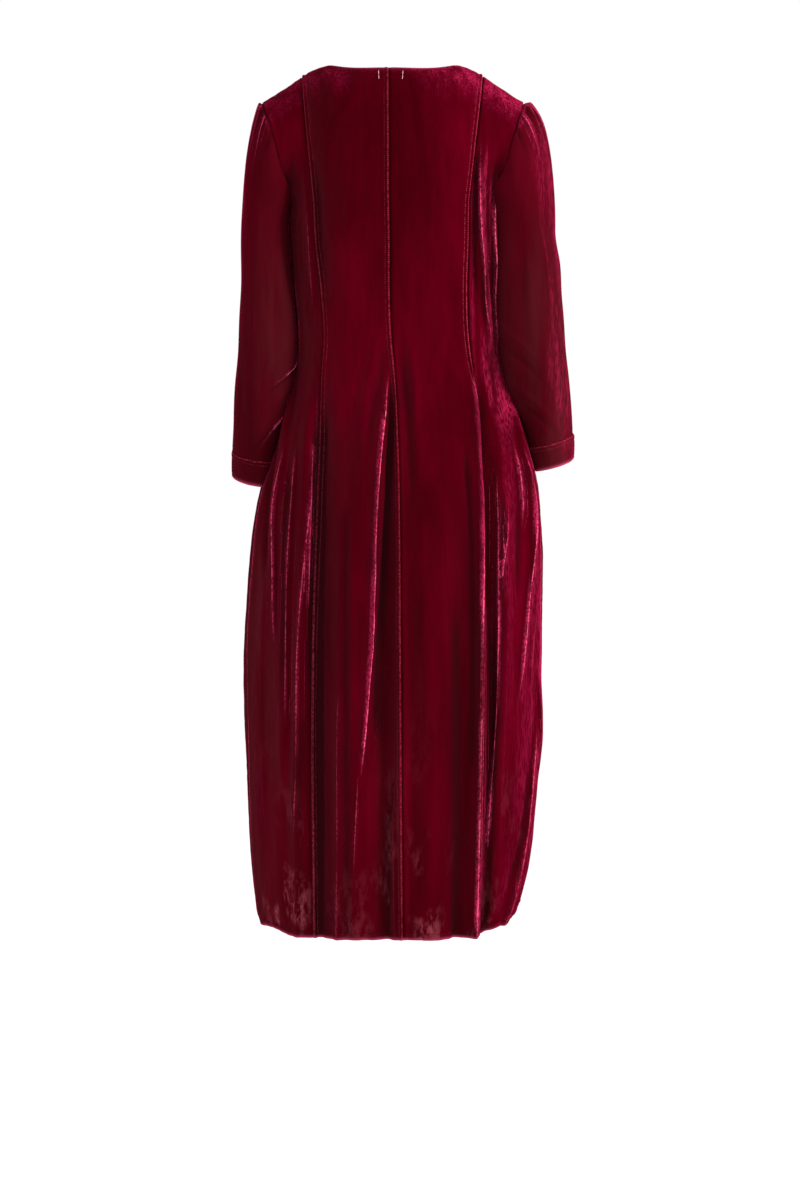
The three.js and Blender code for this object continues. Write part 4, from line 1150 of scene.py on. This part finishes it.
def make_velvet():
    n = Nodes("velvet")
    # Broad shading of the nap, brushed this way and that, longer down the cloth
    color = n.ramp(
        n.noise(7, 0.35),
        (0.36, (0.037, 0.0001, 0.0022)), (0.5, (0.049, 0.0001, 0.003)), (0.64, (0.066, 0.0001, 0.0044)),
    )
    streaks = n.ramp(n.noise(70, 0.12, 4, 0.6), (0.36, 0.84), (0.5, 1), (0.66, (1.18, 1.2, 1.2)))
    color = n.tint(color, streaks, 0.7, "MULTIPLY")
    # Painted haze of dull, brownish reflected light, broken into long streaks
    turns = n.ramp(n.noise(32, 0.1, 3, 0.6), (0.38, 0.35), (0.6, 1))
    color = n.tint(color, COLORS["dull"], n.times(n.attribute("dull"), turns))
    # Painted shade in the troughs, beside the crests and beside the sleeves, and a painted highlight along
    # each crest: a thin bright line in a softer glow
    show, bold = n.attribute("show"), n.attribute("bold")
    across = n.spread(n.attribute("line"), -LINE_REACH, LINE_REACH)
    beside = n.ramp(
        across, (0.08, 0), (0.30, 1), (0.43, 1), (0.49, 0), (0.53, 0), (0.58, 0.8), (0.68, 0.7), (0.86, 0)
    )
    shade = n.math("ADD", n.times(beside, show), n.attribute("trough"))
    shade = n.math("MULTIPLY", shade, 0.66, use_clamp=True)
    color = n.tint(color, COLORS["shade"], shade)
    grain = n.noise(420, 0.6, 2, 0.6)
    speckle = n.ramp(grain, (0.38, 0.15), (0.6, 1))
    strength = n.ramp(n.noise(15, 0.5), (0.36, 0.12), (0.58, 1))
    halo = n.ramp(across, (0.3, 0), (0.47, 1), (0.54, 1), (0.76, 0))
    halo_streaks = n.ramp(n.noise(75, 0.07, 4, 0.65), (0.42, 0), (0.57, 1))
    color = n.tint(color, COLORS["halo"], n.times(halo, show, halo_streaks, strength, speckle))
    crest = n.times(n.ramp(across, (0.45, 0), (0.487, 1), (0.508, 1), (0.54, 0)), show)
    color = n.tint(color, COLORS["crest"], n.times(crest, speckle, strength))
    # Painted sheen on the nap at the side and on the shoulders, caught in short streaks
    sheen_flecks = n.ramp(n.noise(480, 0.14, 3, 0.6), (0.43, 0.12), (0.58, 1))
    swathes = n.ramp(n.noise(46, 0.1, 3, 0.6), (0.38, 0.15), (0.6, 1))
    color = n.tint(color, COLORS["painted_sheen"], n.times(n.attribute("painted_sheen"), n.times(sheen_flecks, swathes)))
    # Sewn edges: a painted highlight along the lapped side's two raised stitched lines, and painted shade
    # in the dark groove on the other side
    over, under = (n.spread(n.attribute(mark), 0, LINE_REACH) for mark in ("over", "under"))
    rows = n.ramp(over, (0.02, 0), (0.1, 1), (0.2, 0.9), (0.3, 0), (0.56, 0), (0.64, 0.75), (0.72, 0))
    stitch = n.bands({"Scale": 105, "Distortion": 1.2, "Detail Scale": 3}).outputs["Fac"]
    sewn = n.times(rows, n.ramp(stitch, (0.2, 0.25), (0.8, 1)), bold)
    color = n.tint(color, COLORS["sewn"], n.times(sewn, speckle))
    groove = n.ramp(under, (0, 0.95), (0.12, 0.85), (0.5, 0))
    color = n.tint(color, COLORS["groove"], n.times(groove, bold))
    # Painted highlight along the rolled edges at the top, the hem and the cuffs
    color = n.tint(color, COLORS["edge"], n.times(n.attribute("edge"), 0.7))
    # Crushed patches near the hem, crinkled up the cloth, with a painted brownish sheen
    low = n.times(n.ramp(n.noise(19, 0.5, 2), (0.5, 0), (0.6, 1)), n.attribute("low"))
    crinkle = n.ramp(n.noise(105, 0.36, 4, 0.7), (0.45, 0), (0.53, 0.5), (0.6, 1))
    crinkled = n.times(low, crinkle)
    color = n.tint(color, COLORS["crush_and_sheen"], crinkled)
    # Matt pile, a little slicker where it is crushed. Its relief is soft swells, sharp crests, sewn
    # lines, crinkles, brushed tufts and pile tips.
    relief = n.bump(
        (n.noise(34, 0.4), 0.3, 0.0022),
        (crest, 1.0, 0.0007),
        (sewn, 1.0, 0.0008),
        (crinkled, 1.0, 0.0025),
        (grain, 0.55, 0.0007),
        (n.noise(1500, 0.6, 2), 0.35, 0.00015),
    )
    matt = {"Roughness": n.spread(low, 0, 1, 0.6, 0.40), "Specular IOR Level": 0}
    sheen = {"Sheen Weight": 0.3, "Sheen Roughness": 0.2, "Sheen Tint": (1.0, 0.035, 0.13)}
    return n.finish({"Base Color": color, **matt, **sheen, **relief})


def make_backing():
    """The wrong side of the velvet: a dull, close weave."""
    n = Nodes("velvet_wrong_side")
    tone = n.ramp(n.noise(40), (0.35, (0.10, 0.006, 0.014)), (0.65, (0.16, 0.012, 0.026)))
    weave = n.bands({"Scale": 260})
    color = n.tint(tone, weave.outputs["Color"], 0.12, "OVERLAY")
    relief = n.bump((weave.outputs["Fac"], 0.3, 0.0003))
    dull = {"Roughness": 0.85, "Specular IOR Level": 0.15, "Sheen Weight": 0.15}
    return n.finish({"Base Color": color, **dull, **relief})


def make_thread(name):
    n = Nodes(name)
    color = COLORS[name]
    tone = n.ramp(n.noise(900, detail=2), (0.3, tuple(0.75 * c for c in color)), (0.7, color))
    return n.finish({"Base Color": tone, "Roughness": 0.6, "Specular IOR Level": 0.1})


def make_floor():
    n = Nodes("studio_floor")
    tone = n.ramp(n.noise(3, detail=2), (0.3, 0.79), (0.7, 0.81))
    glow = {"Emission Color": (1, 1, 1), "Emission Strength": 0.2}
    return n.finish({"Base Color": tone, "Roughness": 0.9, **glow})


def add_studio():
    """A wide pale floor, soft lights and the camera."""
    mesh = bpy.data.meshes.new("studio_floor")
    corners = [(x * FLOOR_REACH, y * FLOOR_REACH, FLOOR_Z) for x, y in ((-1, -1), (1, -1), (1, 1), (-1, 1))]
    mesh.from_pydata(corners, [], [(0, 1, 2, 3)])
    mesh.materials.append(make_floor())
    floor = add_object("studio_floor", mesh)

    for name, (place, target, watts, size, color) in LIGHTS.items():
        data = bpy.data.lights.new(name, "AREA")
        data.energy, data.size, data.color = watts, size, color
        lamp = add_object(name, data)
        lamp.location = place
        aim = Vector(target) - Vector(place)
        lamp.rotation_euler = aim.to_track_quat("-Z", "Y").to_euler()

    scene = bpy.context.scene
    world = bpy.data.worlds.new("studio")
    world.use_nodes = True
    world.node_tree.nodes["Background"].inputs["Color"].default_value = (1, 1, 1, 1)
    world.node_tree.nodes["Background"].inputs["Strength"].default_value = 1.0
    scene.world = world
    scene.view_settings.view_transform = "Standard"

    data = bpy.data.cameras.new("camera")
    data.lens, data.sensor_width, data.sensor_fit = CAMERA_LENS, CAMERA_SENSOR, "AUTO"
    camera = add_object("camera", data)
    camera.location = CAMERA_PLACE
    camera.rotation_euler = (math.radians(90), 0, math.radians(180))
    scene.camera = camera


def keep(piece, node, sewing=()):
    """Ties a piece and its sewing to the frame and hides the solid it stands for."""
    for item in (piece, *sewing):
        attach(item, "root")
    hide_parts(node)


def hem_stitches(node, shaped):
    from_hem = from_ends(shaped, 0)[1]
    row = int(np.argmin(np.abs(from_hem.mean(1) - HEM_BAND)))
    outs = grid_normals(shaped)[row, 3:-3]
    return add_stitches(f"{node}_stitches", "hem", shaped[row, 3:-3], outs, thread)


def neck_tack(node, shaped, x):
    """A short light stitch left at the back of the neck."""
    column = int(np.argmin(np.abs(shaped[8, :, 0] - x)))
    path, outs = shaped[2:12, column], grid_normals(shaped)[2:12, column]
    return add_stitches(f"{node}_tack", "tack", path, outs, tack_thread)


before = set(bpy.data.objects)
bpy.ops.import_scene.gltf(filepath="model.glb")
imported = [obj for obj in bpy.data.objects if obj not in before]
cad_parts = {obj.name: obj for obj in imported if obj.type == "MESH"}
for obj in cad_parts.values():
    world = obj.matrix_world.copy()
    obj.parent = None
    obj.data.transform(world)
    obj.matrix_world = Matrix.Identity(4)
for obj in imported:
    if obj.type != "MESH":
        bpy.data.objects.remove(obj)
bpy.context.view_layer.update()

velvet = make_velvet()
backing = make_backing()
thread = make_thread("thread")
tack_thread = make_thread("tack_thread")

inner, outer = close_ends(CENTRE_COLUMNS, CENTRE_WIDTH), close_ends(SIDE_COLUMNS, SIDE_WIDTH)
for side, (seed, tack_x, centre_bold, side_bold) in BACKS.items():
    panels = quarter(side, "back", inner, outer, row_marks(BACK_ROWS))
    centre_ends, side_ends = ["centre over", "princess over"], ["princess under", "side"]
    if side == "right":
        panels = [panel[:, ::-1] for panel in panels]
        centre_ends, side_ends = ["princess over", "centre under"], ["side", "princess under"]
    node = f"centre_back_{side}"
    piece, shaped = sewn_panel(node, panels[0], "back", centre_ends, seed, centre_bold)
    keep(piece, node, [hem_stitches(node, shaped), neck_tack(node, shaped, tack_x)])
    node = f"side_back_{side}"
    piece, shaped = sewn_panel(node, panels[1], "back", side_ends, seed + 3, side_bold)
    keep(piece, node, [hem_stitches(node, shaped)])

inner = np.linspace(0, 1, FRONT_COLUMNS[0])
outer = close_ends(FRONT_COLUMNS[1], SIDE_WIDTH, first=False)
halves = []
for side in ("left", "right"):
    near, far = quarter(side, "front", inner, outer, row_marks(FRONT_ROWS))
    halves.append(np.concatenate([near, far[:, 1:]], 1))
front_grid = np.concatenate([halves[0][:, :0:-1], halves[1]], 1)
piece, shaped = sewn_panel("front", front_grid, "front", ["side", "side"], FRONT_SEED)
keep(piece, "front", [hem_stitches("front", shaped)])

for side, seed in SLEEVE_SEEDS.items():
    keep(add_sleeve(side, seed), f"sleeve_{side}")
    piece, line, outs = add_cuff(side, seed + 7)
    stitches = add_stitches(f"cuff_{side}_stitches", "cuff", line, outs, thread, closes=True)
    keep(piece, f"cuff_{side}", [stitches])

add_studio()
